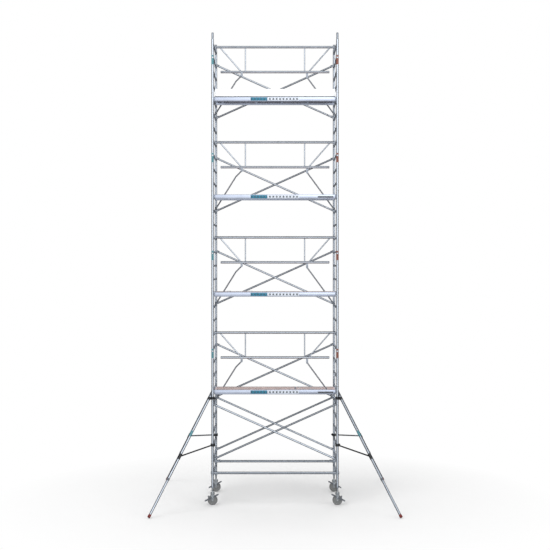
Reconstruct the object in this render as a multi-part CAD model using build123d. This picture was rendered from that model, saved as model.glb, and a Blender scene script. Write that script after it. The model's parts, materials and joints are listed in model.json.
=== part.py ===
from build123d import *
import os
from math import atan2, degrees, hypot, sin

# Mobile tower scaffold: two ladder end frames stacked in four levels, decks, guardrails,
# braces, stabilisers and lockable casters.
# Millimetres, +Z up, +X along the bay, front at -Y, origin on the floor under the middle.

# ---- driving dimensions -------------------------------------------------------------
BAY_LENGTH = 2500.0          # between the upright axes of the two end frames
TOWER_WIDTH = 1350.0         # between the upright axes of one end frame
LEVELS = 4                   # full frames on each side

UPRIGHT_R = 25.4
UPRIGHT_WALL = 2.0
RUNG_R = 19.0
RUNG_WALL = 2.0
RUNG_PITCH = 280.0
RUNGS_PER_FRAME = 7
TOP_FRAME_RUNGS = 4
FIRST_RUNG_RISE = 220.0      # from a frame's lower end to its first rung

FIT = 0.06                   # radial clearance of a running fit
BODY_GAP = 0.3               # between pieces that move past each other
SEAT_GAP = 0.5               # between a folding leg's hook and its rung

SPIGOT_CLEARANCE = 0.8       # radial, of its free length in the next frame
SPIGOT_WALL = 3.0
SPIGOT_RISE = 135.0          # how far a spigot stands out of its frame
SPIGOT_TAPER = 18.0
SPIGOT_TIP = 5.0             # how much smaller the tip is than the free length
SPIGOT_ROOT = 90.0           # length pressed into the frame below
CLIP_PIN_R = 4.0
CLIP_HOLE_R = 4.2
CLIP_RISE = 45.0             # above the joint of two frames
CLIP_BAND = 2.2
CLIP_HEIGHT = 14.0

# casters and adjustable legs
WHEEL_R = 100.0
WHEEL_WIDTH = 46.0
WHEEL_HUB_R = 24.0
WHEEL_HUB_WIDTH = 50.0
WHEEL_RIM = 20.0             # thickness of the rim
WHEEL_RECESS = 8.0
WHEEL_EDGE_R = 6.0
BUSH_WALL = 4.0
AXLE_R = 6.0
AXLE_HEAD_R = 10.2
AXLE_HEAD = 8.0
AXLE_END = 3.0               # beyond its head or nut
FORK_PLATE = 5.0
FORK_GAP = 1.5               # hub face to fork plate
FORK_TOP_WIDTH = 70.0
FORK_END_R = 21.0
CROWN_RISE = 6.0             # wheel top to crown
CROWN_THICKNESS = 6.0
HEAD_R = 42.0                # swivel housing
HEAD_HEIGHT = 38.0
KINGPIN_R = 12.0
KINGPIN_HEAD_R = 17.0
KINGPIN_HEAD = 9.0
SPINDLE_SHOWN = 115.0        # between the swivel housing and the frame
SPINDLE_R = 19.0
SPINDLE_WALL = 6.0
SPINDLE_INSIDE = 300.0
SPINDLE_COLLAR = 30.0
LEG_NUT_LIP = 3.6            # beyond the upright
LEG_NUT_HEIGHT = 24.0

# brake pedal, seen from the front with the tower's middle to the right;
# its places are in wheel radii from the axle
PEDAL_PIVOT_RISE = 0.56
PEDAL_PIN_R = 5.0
PEDAL_PLATE = 5.0
PEDAL_BAR_R = 9.0
PEDAL_ARM_WIDTH = 18.0
PEDAL_LOCK = (-1.45, -0.18)
PEDAL_RELEASE = (1.10, 1.07)
PEDAL_SHOE = (-0.88, 0.74)
PEDAL_SHOE_ROOT = (-0.62, 0.24)
PEDAL_SHOE_R = 8.0

# braces
BRACE_R = 19.5
BRACE_WALL = 2.0
BRACE_LIFT = 28.0            # brace axis above the rung axis
BRACE_INSET = 58.0           # outer brace plane behind the upright plane
BRACE_GAP = 0.2              # between two crossing braces
BASE_BRACE_RUNGS = (1, 5)
UPPER_BRACE_RUNGS = (5, 9)
CLAW_WALL = 12.0
CLAW_SIDE = 1.0              # claw face to half the spacing of the braces
CLAW_MOUTH = 30.0
CLAW_MOUTH_TURN = 35.0       # degrees, from straight down to outwards
CLAW_SOCKET_WALL = 1.4
CLAW_SOCKET_START = 8.0
CLAW_SOCKET_LENGTH = 75.0
HORIZONTAL_RISE = 55.0       # above the lowest rung
HORIZONTAL_R = 25.0
COLLAR_WALL = 13.6
COLLAR_SOCKET_WALL = 2.0
COLLAR_REACH = 60.0
COLLAR_MOUTH = 34.0
COLLAR_MOUTH_START = 12.0    # outwards from the upright axis

# decks
DECK_RUNG = 6
DECK_FRONT_INSET = 35.0      # deck edge behind the front upright axis
DECK_BACK_GAP = 40.0         # deck edge in front of the guardrails
DECK_BEAM_WIDTH = 35.0
DECK_BEAM_WALL = 3.0
DECK_BEAM_BELOW = 57.0       # below the rung axis
DECK_BEAM_ABOVE = 35.0       # above the rung axis
DECK_END_GAP = 38.0          # rung axis to the beam's end
HOOK_LIP = 10.0
HOOK_EDGE_R = 8.0
HOOK_ROOT_GAP = 8.0          # between the rung and the hook's deep root
HOOK_DROP = 14.0             # hook lip below the rung axis
BOARD_THICKNESS = 12.0
CROSS_WIDTH = 40.0
CROSS_DEPTH = 42.0
CROSS_WALL = 3.0
HATCH_LENGTH = 650.0
HATCH_END = 200.0            # rung axis to the near end of the hatch
HATCH_MARGIN = 80.0          # deck's front or rear edge to the hatch
HATCH_GAP = 3.0
HINGE_KNUCKLE_R = 5.0
HINGE_PIN_R = 3.0
HINGE_LEAF = 2.0
HINGE_LEAF_WIDTH = 32.0
HINGE_LENGTH = 90.0
HINGE_SPREAD = 440.0         # between the two hinges of a lid

# toe boards, on the highest deck only
TOE_HEIGHT = 150.0
TOE_THICKNESS = 25.0
TOE_GAP = 6.0
TOE_CLIP_WALL = 3.0
TOE_CLIP_HEIGHT = 34.0
TOE_CLIP_LENGTH = 60.0
TOE_CLIP_SHARES = (0.15, 0.85)   # places along a board

# guardrails
RAIL_R = 25.0
RAIL_WALL = 2.0
TOP_RAIL_RUNG = 10
TOP_RAIL_LIFT = 22.0         # rail axis above its rung
MID_RAIL_DROP = 513.0        # mid rail below the top rail
TOP_RAIL_END = 40.0          # rung axis to the rail's end
MID_RAIL_END = 140.0
HOOK_WALL = 10.0             # of the hooks of guardrails and their legs
RAIL_HOOK_WIDTH = 46.0
STRUT_IN = 640.0             # rung axis to the upright strut
STRUT_R = 12.5
STRUT_WALL = 2.0
BRACE_STRUT_TOP_IN = 110.0   # rung axis to the slanting strut's top
BRACE_STRUT_MID_IN = 560.0   # rung axis to the slanting strut's foot
BRACE_STRUT_R = 13.5

# folding guardrail legs
LEG_R = 14.0
LEG_WALL = 2.0
LEG_RUNG = 5
LEG_PLANE = 16.0             # leg axis in front of or behind the rail axis
LEG_EYE_R = 18.0
LEG_PIN_R = 6.0
LEG_PIN_HEAD_R = 9.0
LEG_PIN_HEAD = 4.0
LEG_SIDE_GAP = 3.0
LEFT_PIVOT_IN = 563.0        # rung axis to the pivot
LEFT_PIVOT_DROP = 76.0       # below the mid rail's axis
LEFT_KINK_IN = 446.0
LEFT_KINK_DROP = 195.0
RIGHT_PIVOT_IN = 588.0
RIGHT_PIVOT_DROP = 107.0
BRACKET_PLATE = 5.0
BRACKET_LENGTH = 44.0
BRACKET_TOP = 8.0            # saddle top below the mid rail's axis
BRACKET_SADDLE = 48.0        # saddle bottom below the mid rail's axis

# stabilisers
UPPER_CLAMP_RISE = 1775.0    # above the lower end of the frame
LOWER_CLAMP_RISE = 835.0     # above the lower end of the frame
STABILISER_GAP = 47.2        # upright to tube at the upper clamp
FOOT_X = 1150.0              # upright axis to the foot, along the bay
FOOT_Y = 1220.0              # upright axis to the foot, across the bay
STABILISER_TAIL = 55.0       # tube above the upper clamp
OUTER_SHARE = 0.70           # of the length from clamp to foot
INNER_OVERLAP = 650.0
STRUT_SHARE = 0.50
CLAMP_WALL = 14.6
CLAMP_HEIGHT = 54.0
CLAMP_BLOCK = 44.0
SLEEVE_WALL = 6.1
SLEEVE_LENGTH = 60.0
STRUT_SLEEVE_LENGTH = 120.0
STABILISER_STRUT_R = 14.0
FOOT_WALL = 4.6              # beyond the outer tube
FOOT_LENGTH = 62.0
FOOT_SOCKET = 40.0

# ---- derived sizes ------------------------------------------------------------------
AXLE_Z = WHEEL_R
CROWN_Z = 2 * WHEEL_R + CROWN_RISE
HOUSING_Z = CROWN_Z + CROWN_THICKNESS
HEAD_TOP_Z = HOUSING_Z + HEAD_HEIGHT
FRAME_BASE_Z = HEAD_TOP_Z + SPINDLE_SHOWN
FRAME_HEIGHT = RUNGS_PER_FRAME * RUNG_PITCH
TOP_FRAME_HEIGHT = TOP_FRAME_RUNGS * RUNG_PITCH
HALF_BAY = BAY_LENGTH / 2
HALF_WIDTH = TOWER_WIDTH / 2
UPRIGHT_BORE_R = UPRIGHT_R - UPRIGHT_WALL
SPIGOT_R = UPRIGHT_BORE_R - SPIGOT_CLEARANCE
LEG_NUT_R = UPRIGHT_R + LEG_NUT_LIP
WHEEL_RIM_R = WHEEL_R - WHEEL_RIM
FORK_INNER = WHEEL_HUB_WIDTH / 2 + FORK_GAP
FORK_OUTER = FORK_INNER + FORK_PLATE

DECK_FRONT = -HALF_WIDTH + DECK_FRONT_INSET
DECK_BACK = -DECK_BACK_GAP
DECK_END = HALF_BAY - DECK_END_GAP
HATCH_REAR_Y = DECK_BACK - HATCH_MARGIN
HATCH_FRONT_Y = DECK_FRONT + HATCH_MARGIN
HATCH_OUT_X = HALF_BAY - HATCH_END
HATCH_IN_X = HATCH_OUT_X - HATCH_LENGTH
BRACE_SPACING = 2 * (BRACE_R + CLAW_SOCKET_WALL) + BRACE_GAP
BRACE_PLANE = HALF_WIDTH - BRACE_INSET
INNER_BRACE_PLANE = BRACE_PLANE - BRACE_SPACING
CLAW_R = RUNG_R + CLAW_WALL
CLAW_WIDTH = BRACE_SPACING - 2 * CLAW_SIDE
COLLAR_R = UPRIGHT_R + COLLAR_WALL
COLLAR_HEIGHT = 2 * (HORIZONTAL_R + COLLAR_SOCKET_WALL)
HOOK_R = RUNG_R + HOOK_WALL
UPPER_CLAMP = FRAME_BASE_Z + UPPER_CLAMP_RISE
LOWER_CLAMP = FRAME_BASE_Z + LOWER_CLAMP_RISE
STABILISER_OUT = 2 * UPRIGHT_R + STABILISER_GAP
CLAMP_R = UPRIGHT_R + CLAMP_WALL
SLEEVE_R = UPRIGHT_R + SLEEVE_WALL
FOOT_R = UPRIGHT_R + FOOT_WALL

LOW_CENTRE = (Align.CENTER, Align.CENTER, Align.MIN)
CORNERS = [(sx, sy) for sy in (-1, 1) for sx in (-1, 1)]


def corner_name(sx, sy):
    return ("front" if sy < 0 else "rear") + ("_left" if sx < 0 else "_right")


def rung_z(number):
    return FRAME_BASE_Z + FIRST_RUNG_RISE + number * RUNG_PITCH


def save(name, solids):
    """Write one node as a group of separate solids."""
    shapes = []
    for item in solids:
        shapes.extend(item.solids())
    node = Compound(label=name, children=shapes)
    export_step(node, f"parts/{name}.step")


def raised(solids, level):
    """The same pieces, a number of frames higher."""
    return [Pos(0, 0, level * FRAME_HEIGHT) * item for item in solids]


# ---- shapes used in many places -------------------------------------------------------
def bar(start, end, radius):
    """Round bar between two points."""
    start = Vector(*start)
    end = Vector(*end)
    run = end - start
    return Plane(origin=start, z_dir=run.normalized()) * Cylinder(radius, run.length, align=LOW_CENTRE)


def pipe(start, end, radius, wall):
    return bar(start, end, radius) - bar(start, end, radius - wall)


def bar_y(x, y_from, y_to, z, radius):
    return bar((x, y_from, z), (x, y_to, z), radius)


def bar_z(x, y, z_from, z_to, radius):
    return bar((x, y, z_from), (x, y, z_to), radius)


def block(x_range, y_range, z_range):
    """Box between two values on each axis, in either order."""
    low = [min(pair) for pair in (x_range, y_range, z_range)]
    high = [max(pair) for pair in (x_range, y_range, z_range)]
    size = [b - a for a, b in zip(low, high)]
    return Pos(*low) * Box(*size, align=(Align.MIN, Align.MIN, Align.MIN))


def box_tube_x(x_range, y_range, z_range, wall):
    """Rectangular tube along X, open at both ends."""
    inner = block(
        x_range,
        (min(y_range) + wall, max(y_range) - wall),
        (min(z_range) + wall, max(z_range) - wall),
    )
    return block(x_range, y_range, z_range) - inner


def slot_plate(first, second, width, y_from, y_to):
    """Plate with round ends between two (x, z) points, standing in an XZ plane."""
    (x1, z1), (x2, z2) = first, second
    length = hypot(x2 - x1, z2 - z1)
    middle = ((x1 + x2) / 2, (y_from + y_to) / 2, (z1 + z2) / 2)
    angle = -degrees(atan2(z2 - z1, x2 - x1))
    web = Pos(*middle) * Rot(0, angle, 0) * Box(length, abs(y_to - y_from), width)
    ends = bar_y(x1, y_from, y_to, z1, width / 2) + bar_y(x2, y_from, y_to, z2, width / 2)
    return web + ends


# ---- end frames -----------------------------------------------------------------------
def rung(x, z):
    """Hollow rung, cut to the curve of both uprights."""
    tube = pipe((x, -HALF_WIDTH, z), (x, HALF_WIDTH, z), RUNG_R, RUNG_WALL)
    for y in (-HALF_WIDTH, HALF_WIDTH):
        tube -= bar_z(x, y, z - 2 * RUNG_R, z + 2 * RUNG_R, UPRIGHT_R)
    return tube


def clip_hole(side, y, z):
    """Cutter for a locking pin, from the outer side of an upright to its middle."""
    x = side * HALF_BAY
    return bar((x, y, z), (x + side * 2 * UPRIGHT_R, y, z), CLIP_HOLE_R)


def frame_clip(side, y, z):
    """Spring band round an upright with a pin that locks the spigot."""
    x = side * HALF_BAY
    band = bar_z(x, y, z - CLIP_HEIGHT / 2, z + CLIP_HEIGHT / 2, UPRIGHT_R + CLIP_BAND)
    band -= bar_z(x, y, z - CLIP_HEIGHT, z + CLIP_HEIGHT, UPRIGHT_R)
    reach = 2 * UPRIGHT_R
    opening = (x - side * UPRIGHT_R / 2, x - side * reach)
    band -= block(opening, (y - reach, y + reach), (z - CLIP_HEIGHT, z + CLIP_HEIGHT))
    pin_end = x + side * (UPRIGHT_BORE_R - 2 * SPIGOT_WALL)
    pin = bar((pin_end, y, z), (x + side * (UPRIGHT_R + CLIP_BAND / 2), y, z), CLIP_PIN_R)
    return band + pin


def end_frame(side, z_base, rungs, has_clip):
    """Two uprights and their rungs; an upper frame carries its two locking clips."""
    x = side * HALF_BAY
    height = rungs * RUNG_PITCH
    solids = []
    for y in (-HALF_WIDTH, HALF_WIDTH):
        upright = pipe((x, y, z_base), (x, y, z_base + height), UPRIGHT_R, UPRIGHT_WALL)
        if has_clip:
            upright -= clip_hole(side, y, z_base + CLIP_RISE)
            solids.append(frame_clip(side, y, z_base + CLIP_RISE))
        solids.append(upright)
    first = rung(x, z_base + FIRST_RUNG_RISE)
    for number in range(rungs):
        solids.append(Pos(0, 0, number * RUNG_PITCH) * first)
    return solids


def spigot(side, y, z_joint):
    """Tube pressed into the frame below; its free end enters the frame above."""
    x = side * HALF_BAY
    straight_end = z_joint + SPIGOT_RISE - SPIGOT_TAPER
    root = bar_z(x, y, z_joint - SPIGOT_ROOT, z_joint, UPRIGHT_BORE_R)
    free = bar_z(x, y, z_joint, straight_end, SPIGOT_R)
    tip = Pos(x, y, straight_end) * Cone(SPIGOT_R, SPIGOT_R - SPIGOT_TIP, SPIGOT_TAPER, align=LOW_CENTRE)
    bore_r = SPIGOT_R - SPIGOT_TIP - SPIGOT_WALL
    bore = bar_z(x, y, z_joint - SPIGOT_ROOT, z_joint + SPIGOT_RISE, bore_r)
    wide_bore = bar_z(x, y, z_joint - SPIGOT_ROOT, straight_end - SPIGOT_WALL, SPIGOT_R - SPIGOT_WALL)
    return root + free + tip - bore - wide_bore - clip_hole(side, y, z_joint + CLIP_RISE)


def save_frames():
    sides = {"left": -1, "right": 1}
    for side_name, side in sides.items():
        save(f"frame_{side_name}_1", end_frame(side, FRAME_BASE_Z, RUNGS_PER_FRAME, False))
        upper_frame = end_frame(side, FRAME_BASE_Z, RUNGS_PER_FRAME, True)
        for level in range(1, LEVELS):
            save(f"frame_{side_name}_{level + 1}", raised(upper_frame, level))
    top_base = FRAME_BASE_Z + LEVELS * FRAME_HEIGHT
    top_frames = []
    spigots = []
    for side in sides.values():
        top_frames += end_frame(side, top_base, TOP_FRAME_RUNGS, True)
        joints = [FRAME_BASE_Z + (level + 1) * FRAME_HEIGHT for level in range(LEVELS)]
        joints.append(top_base + TOP_FRAME_HEIGHT)
        for z_joint in joints:
            for y in (-HALF_WIDTH, HALF_WIDTH):
                spigots.append(spigot(side, y, z_joint))
    save("top_frames", top_frames)
    save("spigots", spigots)


# ---- casters, adjustable legs and brakes ------------------------------------------------
def leg_nut(x, y):
    """Round nut on the spindle that carries the frame's lower end."""
    nut = bar_z(x, y, FRAME_BASE_Z - LEG_NUT_HEIGHT, FRAME_BASE_Z, LEG_NUT_R)
    return nut - bar_z(x, y, FRAME_BASE_Z - 2 * LEG_NUT_HEIGHT, FRAME_BASE_Z, SPINDLE_R + FIT)


def leg_spindle(x, y):
    """Hollow spindle with a guide collar at its top and a kingpin at its foot."""
    top = FRAME_BASE_Z + SPINDLE_INSIDE
    bottom = HEAD_TOP_Z + BODY_GAP
    stem = bar_z(x, y, bottom, top, SPINDLE_R)
    stem += bar_z(x, y, top - SPINDLE_COLLAR, top, UPRIGHT_BORE_R - FIT)
    stem -= bar_z(x, y, bottom + 2 * SPINDLE_WALL, top, SPINDLE_R - SPINDLE_WALL)
    head_z = HOUSING_Z + BODY_GAP
    kingpin = bar_z(x, y, head_z, bottom, KINGPIN_R)
    kingpin += bar_z(x, y, head_z, head_z + KINGPIN_HEAD, KINGPIN_HEAD_R)
    return stem + kingpin


def caster_fork(x, y):
    """Swivel housing, crown and two side plates, with the pedal's pivot pins."""
    housing = bar_z(x, y, CROWN_Z, HEAD_TOP_Z, HEAD_R)
    plates = []
    for side in (-1, 1):
        inner = y + side * FORK_INNER
        outer = y + side * FORK_OUTER
        half = FORK_TOP_WIDTH / 2
        outline = Polyline(
            (x - half, HOUSING_Z),
            (x + half, HOUSING_Z),
            (x + FORK_END_R, AXLE_Z),
            (x - FORK_END_R, AXLE_Z),
            close=True,
        )
        plate = extrude(Plane.XZ * make_face(outline), FORK_PLATE)
        plate = Pos(0, max(inner, outer), 0) * plate + bar_y(x, inner, outer, AXLE_Z, FORK_END_R)
        pin_z = AXLE_Z + PEDAL_PIVOT_RISE * WHEEL_R
        pin_end = outer + side * (PEDAL_PLATE + 2 * FORK_GAP)
        plate += bar_y(x, outer, pin_end, pin_z, PEDAL_PIN_R)
        plates.append(plate - bar_y(x, inner, outer, AXLE_Z, AXLE_R))
    cavity = bar_z(x, y, HOUSING_Z, HOUSING_Z + KINGPIN_HEAD + 2 * BODY_GAP, KINGPIN_HEAD_R + BODY_GAP)
    shaft = bar_z(x, y, HOUSING_Z, HEAD_TOP_Z, KINGPIN_R + FIT)
    return housing + plates[0] + plates[1] - cavity - shaft


def axle(x, y):
    """Wheel bolt with its head and nut outside the fork."""
    head_end = FORK_OUTER + AXLE_HEAD
    end = head_end + AXLE_END
    bolt = bar_y(x, y - end, y + end, AXLE_Z, AXLE_R)
    for side in (-1, 1):
        bolt += bar_y(x, y + side * FORK_OUTER, y + side * head_end, AXLE_Z, AXLE_HEAD_R)
    return bolt


def wheel(x, y):
    """Moulded wheel with recessed faces round a hub."""
    half = WHEEL_WIDTH / 2
    disc = bar_y(x, y - half, y + half, AXLE_Z, WHEEL_R)
    rim = fillet(disc.edges().filter_by(GeomType.CIRCLE), WHEEL_EDGE_R)
    for side in (-1, 1):
        rim -= bar_y(x, y + side * (half - WHEEL_RECESS), y + side * WHEEL_WIDTH, AXLE_Z, WHEEL_RIM_R)
    hub_half = WHEEL_HUB_WIDTH / 2
    body = rim + bar_y(x, y - hub_half, y + hub_half, AXLE_Z, WHEEL_HUB_R)
    return body - bar_y(x, y - hub_half, y + hub_half, AXLE_Z, AXLE_R + FIT + BUSH_WALL)


def wheel_bush(x, y):
    half = WHEEL_HUB_WIDTH / 2 + BODY_GAP
    outer = bar_y(x, y - half, y + half, AXLE_Z, AXLE_R + FIT + BUSH_WALL)
    return outer - bar_y(x, y - half, y + half, AXLE_Z, AXLE_R + FIT)


def brake_pedal(x, y, inward):
    """Stirrup lever: two side plates joined by a foot bar at each end and a brake shoe."""
    places = (0.0, PEDAL_PIVOT_RISE), PEDAL_LOCK, PEDAL_RELEASE, PEDAL_SHOE, PEDAL_SHOE_ROOT
    pivot, lock, release, shoe, shoe_root = [
        (x + inward * along * WHEEL_R, AXLE_Z + rise * WHEEL_R) for along, rise in places
    ]
    near = FORK_OUTER + FORK_GAP
    far = near + PEDAL_PLATE
    pedal = None
    for side in (-1, 1):
        inner = y + side * near
        outer = y + side * far
        plate = slot_plate(lock, pivot, PEDAL_ARM_WIDTH, inner, outer)
        plate += slot_plate(pivot, release, PEDAL_ARM_WIDTH, inner, outer)
        plate += slot_plate(shoe_root, shoe, 2 * PEDAL_SHOE_R, inner, outer)
        plate -= bar_y(pivot[0], inner, outer, pivot[1], PEDAL_PIN_R + FIT)
        pedal = plate if pedal is None else pedal + plate
    for (x_bar, z_bar), radius in ((lock, PEDAL_BAR_R), (release, PEDAL_BAR_R), (shoe, PEDAL_SHOE_R)):
        pedal += bar_y(x_bar, y - far, y + far, z_bar, radius)
    return pedal


def save_casters():
    nuts = []
    for sx, sy in CORNERS:
        x = sx * HALF_BAY
        y = sy * HALF_WIDTH
        name = corner_name(sx, sy)
        nuts.append(leg_nut(x, y))
        save(f"leg_spindle_{name}", [leg_spindle(x, y)])
        save(f"caster_fork_{name}", [caster_fork(x, y), axle(x, y)])
        save(f"wheel_{name}", [wheel(x, y), wheel_bush(x, y)])
        save(f"brake_pedal_{name}", [brake_pedal(x, y, -sx)])
    save("leg_nuts", nuts)


# ---- braces -----------------------------------------------------------------------------
def rung_claw(x, y, z, toward):
    """Cast claw round a rung, with a socket for the brace that leaves along toward."""
    half = CLAW_WIDTH / 2
    start = Vector(x, y, z + BRACE_LIFT)
    ring = bar_y(x, y - half, y + half, z, CLAW_R)
    socket_start = start + toward * CLAW_SOCKET_START
    socket = bar(socket_start, start + toward * CLAW_SOCKET_LENGTH, BRACE_R + CLAW_SOCKET_WALL)
    outward = 1 if x > 0 else -1
    mouth = Pos(x, y, z) * Rot(0, outward * CLAW_MOUTH_TURN, 0) * Box(
        CLAW_MOUTH, CLAW_WIDTH, 2 * CLAW_R, align=(Align.CENTER, Align.CENTER, Align.MAX)
    )
    claw = ring + socket - bar_y(x, y - 2 * half, y + 2 * half, z, RUNG_R) - mouth
    return claw - bar(start + toward * CLAW_R, start + toward * 2 * CLAW_SOCKET_LENGTH, BRACE_R)


def diagonal_brace(left_rung, right_rung, y):
    """Tube from a left rung to a right rung with a claw at each end."""
    left = Vector(-HALF_BAY, y, rung_z(left_rung) + BRACE_LIFT)
    right = Vector(HALF_BAY, y, rung_z(right_rung) + BRACE_LIFT)
    along = (right - left).normalized()
    rungs = [
        bar_y(end.X, y - BRACE_R, y + BRACE_R, end.Z - BRACE_LIFT, RUNG_R)
        for end in (left, right)
    ]
    tube = cut_pipe(left + along * CLAW_R, right - along * CLAW_R, BRACE_R, BRACE_WALL, rungs)
    claws = [
        rung_claw(-HALF_BAY, y, rung_z(left_rung), along),
        rung_claw(HALF_BAY, y, rung_z(right_rung), along * -1),
    ]
    return [tube] + claws


def crossed_pair(low, high, side):
    """Two braces that cross: the falling one lies nearer the front."""
    if side < 0:
        falling_y = -BRACE_PLANE
        rising_y = -INNER_BRACE_PLANE
    else:
        falling_y = INNER_BRACE_PLANE
        rising_y = BRACE_PLANE
    return diagonal_brace(high, low, falling_y) + diagonal_brace(low, high, rising_y)


def horizontal_brace(y):
    """Tube between two uprights with an open collar at each end."""
    z = rung_z(0) + HORIZONTAL_RISE
    tube_end = HALF_BAY - COLLAR_R
    solids = [pipe((-tube_end, y, z), (tube_end, y, z), HORIZONTAL_R, RAIL_WALL)]
    half = COLLAR_HEIGHT / 2
    for side in (-1, 1):
        x = side * HALF_BAY
        collar = bar_z(x, y, z - half, z + half, COLLAR_R)
        collar += bar((x, y, z), (x - side * (COLLAR_R + COLLAR_REACH), y, z), half)
        collar -= bar_z(x, y, z - 2 * half, z + 2 * half, UPRIGHT_R)
        mouth = (x + side * COLLAR_MOUTH_START, x + side * 2 * COLLAR_R)
        collar -= block(mouth, (y - COLLAR_MOUTH / 2, y + COLLAR_MOUTH / 2), (z - 2 * half, z + 2 * half))
        solids.append(collar - bar((-tube_end, y, z), (tube_end, y, z), HORIZONTAL_R))
    return solids


def save_braces():
    base = []
    for side in (-1, 1):
        base += horizontal_brace(side * HALF_WIDTH)
        base += crossed_pair(*BASE_BRACE_RUNGS, side)
    save("base_braces", base)
    pair = crossed_pair(*UPPER_BRACE_RUNGS, 1)
    save("upper_braces", [item for level in range(LEVELS) for item in raised(pair, level)])


# ---- decks ------------------------------------------------------------------------------
def deck_hook(side, y, z):
    """Casting that closes a side beam and hooks over the rung."""
    x = side * HALF_BAY
    half = DECK_BEAM_WIDTH / 2
    outer = side * (HALF_BAY + RUNG_R + HOOK_LIP)
    body = block((side * DECK_END, outer), (y - half, y + half), (z - HOOK_DROP, z + DECK_BEAM_ABOVE))
    outer_edges = body.edges().filter_by(Axis.Y).sort_by(lambda edge: side * edge.center().X)[-2:]
    body = fillet(outer_edges, HOOK_EDGE_R)
    root = block(
        (side * DECK_END, side * (HALF_BAY - RUNG_R - HOOK_ROOT_GAP)),
        (y - half, y + half),
        (z - DECK_BEAM_BELOW, z + DECK_BEAM_ABOVE),
    )
    mouth = block((x - RUNG_R, x + RUNG_R), (y - half, y + half), (z - 2 * RUNG_R, z))
    return body + root - bar_y(x, y - half, y + half, z, RUNG_R) - mouth


def cross_members(side):
    """Places of the members under the board, with one at each end of the hatch."""
    half = CROSS_WIDTH / 2
    outer = DECK_END - half
    beside_hatch = [HATCH_OUT_X + half, HATCH_IN_X - half]
    plain = outer + beside_hatch[1]
    rest = [beside_hatch[1] - plain * share for share in (1 / 3, 2 / 3)]
    return [side * x for x in [outer, -outer] + beside_hatch + rest]


def hinge_leaves(x, deck_top, moving):
    """One half of a lid hinge: the moving half has the middle knuckle."""
    axis_z = deck_top + HINGE_KNUCKLE_R + BODY_GAP
    third = HINGE_LENGTH / 3
    if moving:
        spans = [(x - third / 2 + BODY_GAP, x + third / 2 - BODY_GAP)]
        bore = HINGE_PIN_R + FIT
        direction = -1
    else:
        spans = [(x - HINGE_LENGTH / 2, x - third / 2), (x + third / 2, x + HINGE_LENGTH / 2)]
        bore = HINGE_PIN_R
        direction = 1
    leaves = []
    for x_from, x_to in spans:
        near = HATCH_REAR_Y + direction * HATCH_GAP
        far = near + direction * HINGE_LEAF_WIDTH
        plate = block((x_from, x_to), (near, far), (deck_top, deck_top + HINGE_LEAF))
        plate += bar((x_from, HATCH_REAR_Y, axis_z), (x_to, HATCH_REAR_Y, axis_z), HINGE_KNUCKLE_R)
        plate -= bar((x_from, HATCH_REAR_Y, axis_z), (x_to, HATCH_REAR_Y, axis_z), bore)
        leaves.append(plate)
    return leaves


def hinge_pin(x, deck_top):
    axis_z = deck_top + HINGE_KNUCKLE_R + BODY_GAP
    half = HINGE_LENGTH / 2
    return bar((x - half, HATCH_REAR_Y, axis_z), (x + half, HATCH_REAR_Y, axis_z), HINGE_PIN_R)


def hinge_places(side):
    middle = side * (HATCH_IN_X + HATCH_OUT_X) / 2
    return [middle - HINGE_SPREAD / 2, middle + HINGE_SPREAD / 2]


def deck_frame(side, z):
    """Side beams, hooks, cross members and the fixed half of the lid hinges."""
    top = z + DECK_BEAM_ABOVE
    solids = []
    inner_y = (DECK_FRONT + DECK_BEAM_WIDTH, DECK_BACK - DECK_BEAM_WIDTH)
    beam_z = (z - DECK_BEAM_BELOW, top)
    for y_range in ((DECK_FRONT, inner_y[0]), (inner_y[1], DECK_BACK)):
        solids.append(box_tube_x((-DECK_END, DECK_END), y_range, beam_z, DECK_BEAM_WALL))
        for end in (-1, 1):
            solids.append(deck_hook(end, sum(y_range) / 2, z))
    member_top = top - BOARD_THICKNESS
    member_z = (member_top - CROSS_DEPTH, member_top)
    for x in cross_members(side):
        outer = block((x - CROSS_WIDTH / 2, x + CROSS_WIDTH / 2), inner_y, member_z)
        inner = block(
            (x - CROSS_WIDTH / 2 + CROSS_WALL, x + CROSS_WIDTH / 2 - CROSS_WALL),
            inner_y,
            (member_z[0] + CROSS_WALL, member_z[1] - CROSS_WALL),
        )
        solids.append(outer - inner)
    for x in hinge_places(side):
        solids += hinge_leaves(x, top, False)
        solids.append(hinge_pin(x, top))
    return solids


def deck_board(side, z):
    """Plywood between the side beams with the hatch opening."""
    top = z + DECK_BEAM_ABOVE
    board_z = (top - BOARD_THICKNESS, top)
    board = block(
        (-DECK_END, DECK_END), (DECK_FRONT + DECK_BEAM_WIDTH, DECK_BACK - DECK_BEAM_WIDTH), board_z
    )
    hole = block((side * HATCH_IN_X, side * HATCH_OUT_X), (HATCH_FRONT_Y, HATCH_REAR_Y), board_z)
    return board - hole


def hatch_lid(side, z):
    """Lid that fills the opening, with the moving half of its hinges."""
    top = z + DECK_BEAM_ABOVE
    lid = block(
        (side * (HATCH_IN_X + HATCH_GAP), side * (HATCH_OUT_X - HATCH_GAP)),
        (HATCH_FRONT_Y + HATCH_GAP, HATCH_REAR_Y - HATCH_GAP),
        (top - BOARD_THICKNESS, top),
    )
    leaves = []
    for x in hinge_places(side):
        leaves += hinge_leaves(x, top, True)
    return [lid] + leaves


def hatch_side(level):
    """The hatches of neighbouring decks are at opposite ends."""
    return 1 if level % 2 == 0 else -1


def save_decks():
    frames = []
    boards = []
    for level in range(LEVELS):
        side = hatch_side(level)
        z = rung_z(DECK_RUNG + level * RUNGS_PER_FRAME)
        frames += deck_frame(side, z)
        boards.append(deck_board(side, z))
        save(f"hatch_{level + 1}", hatch_lid(side, z))
    save("deck_frames", frames)
    save("deck_boards", boards)


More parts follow.
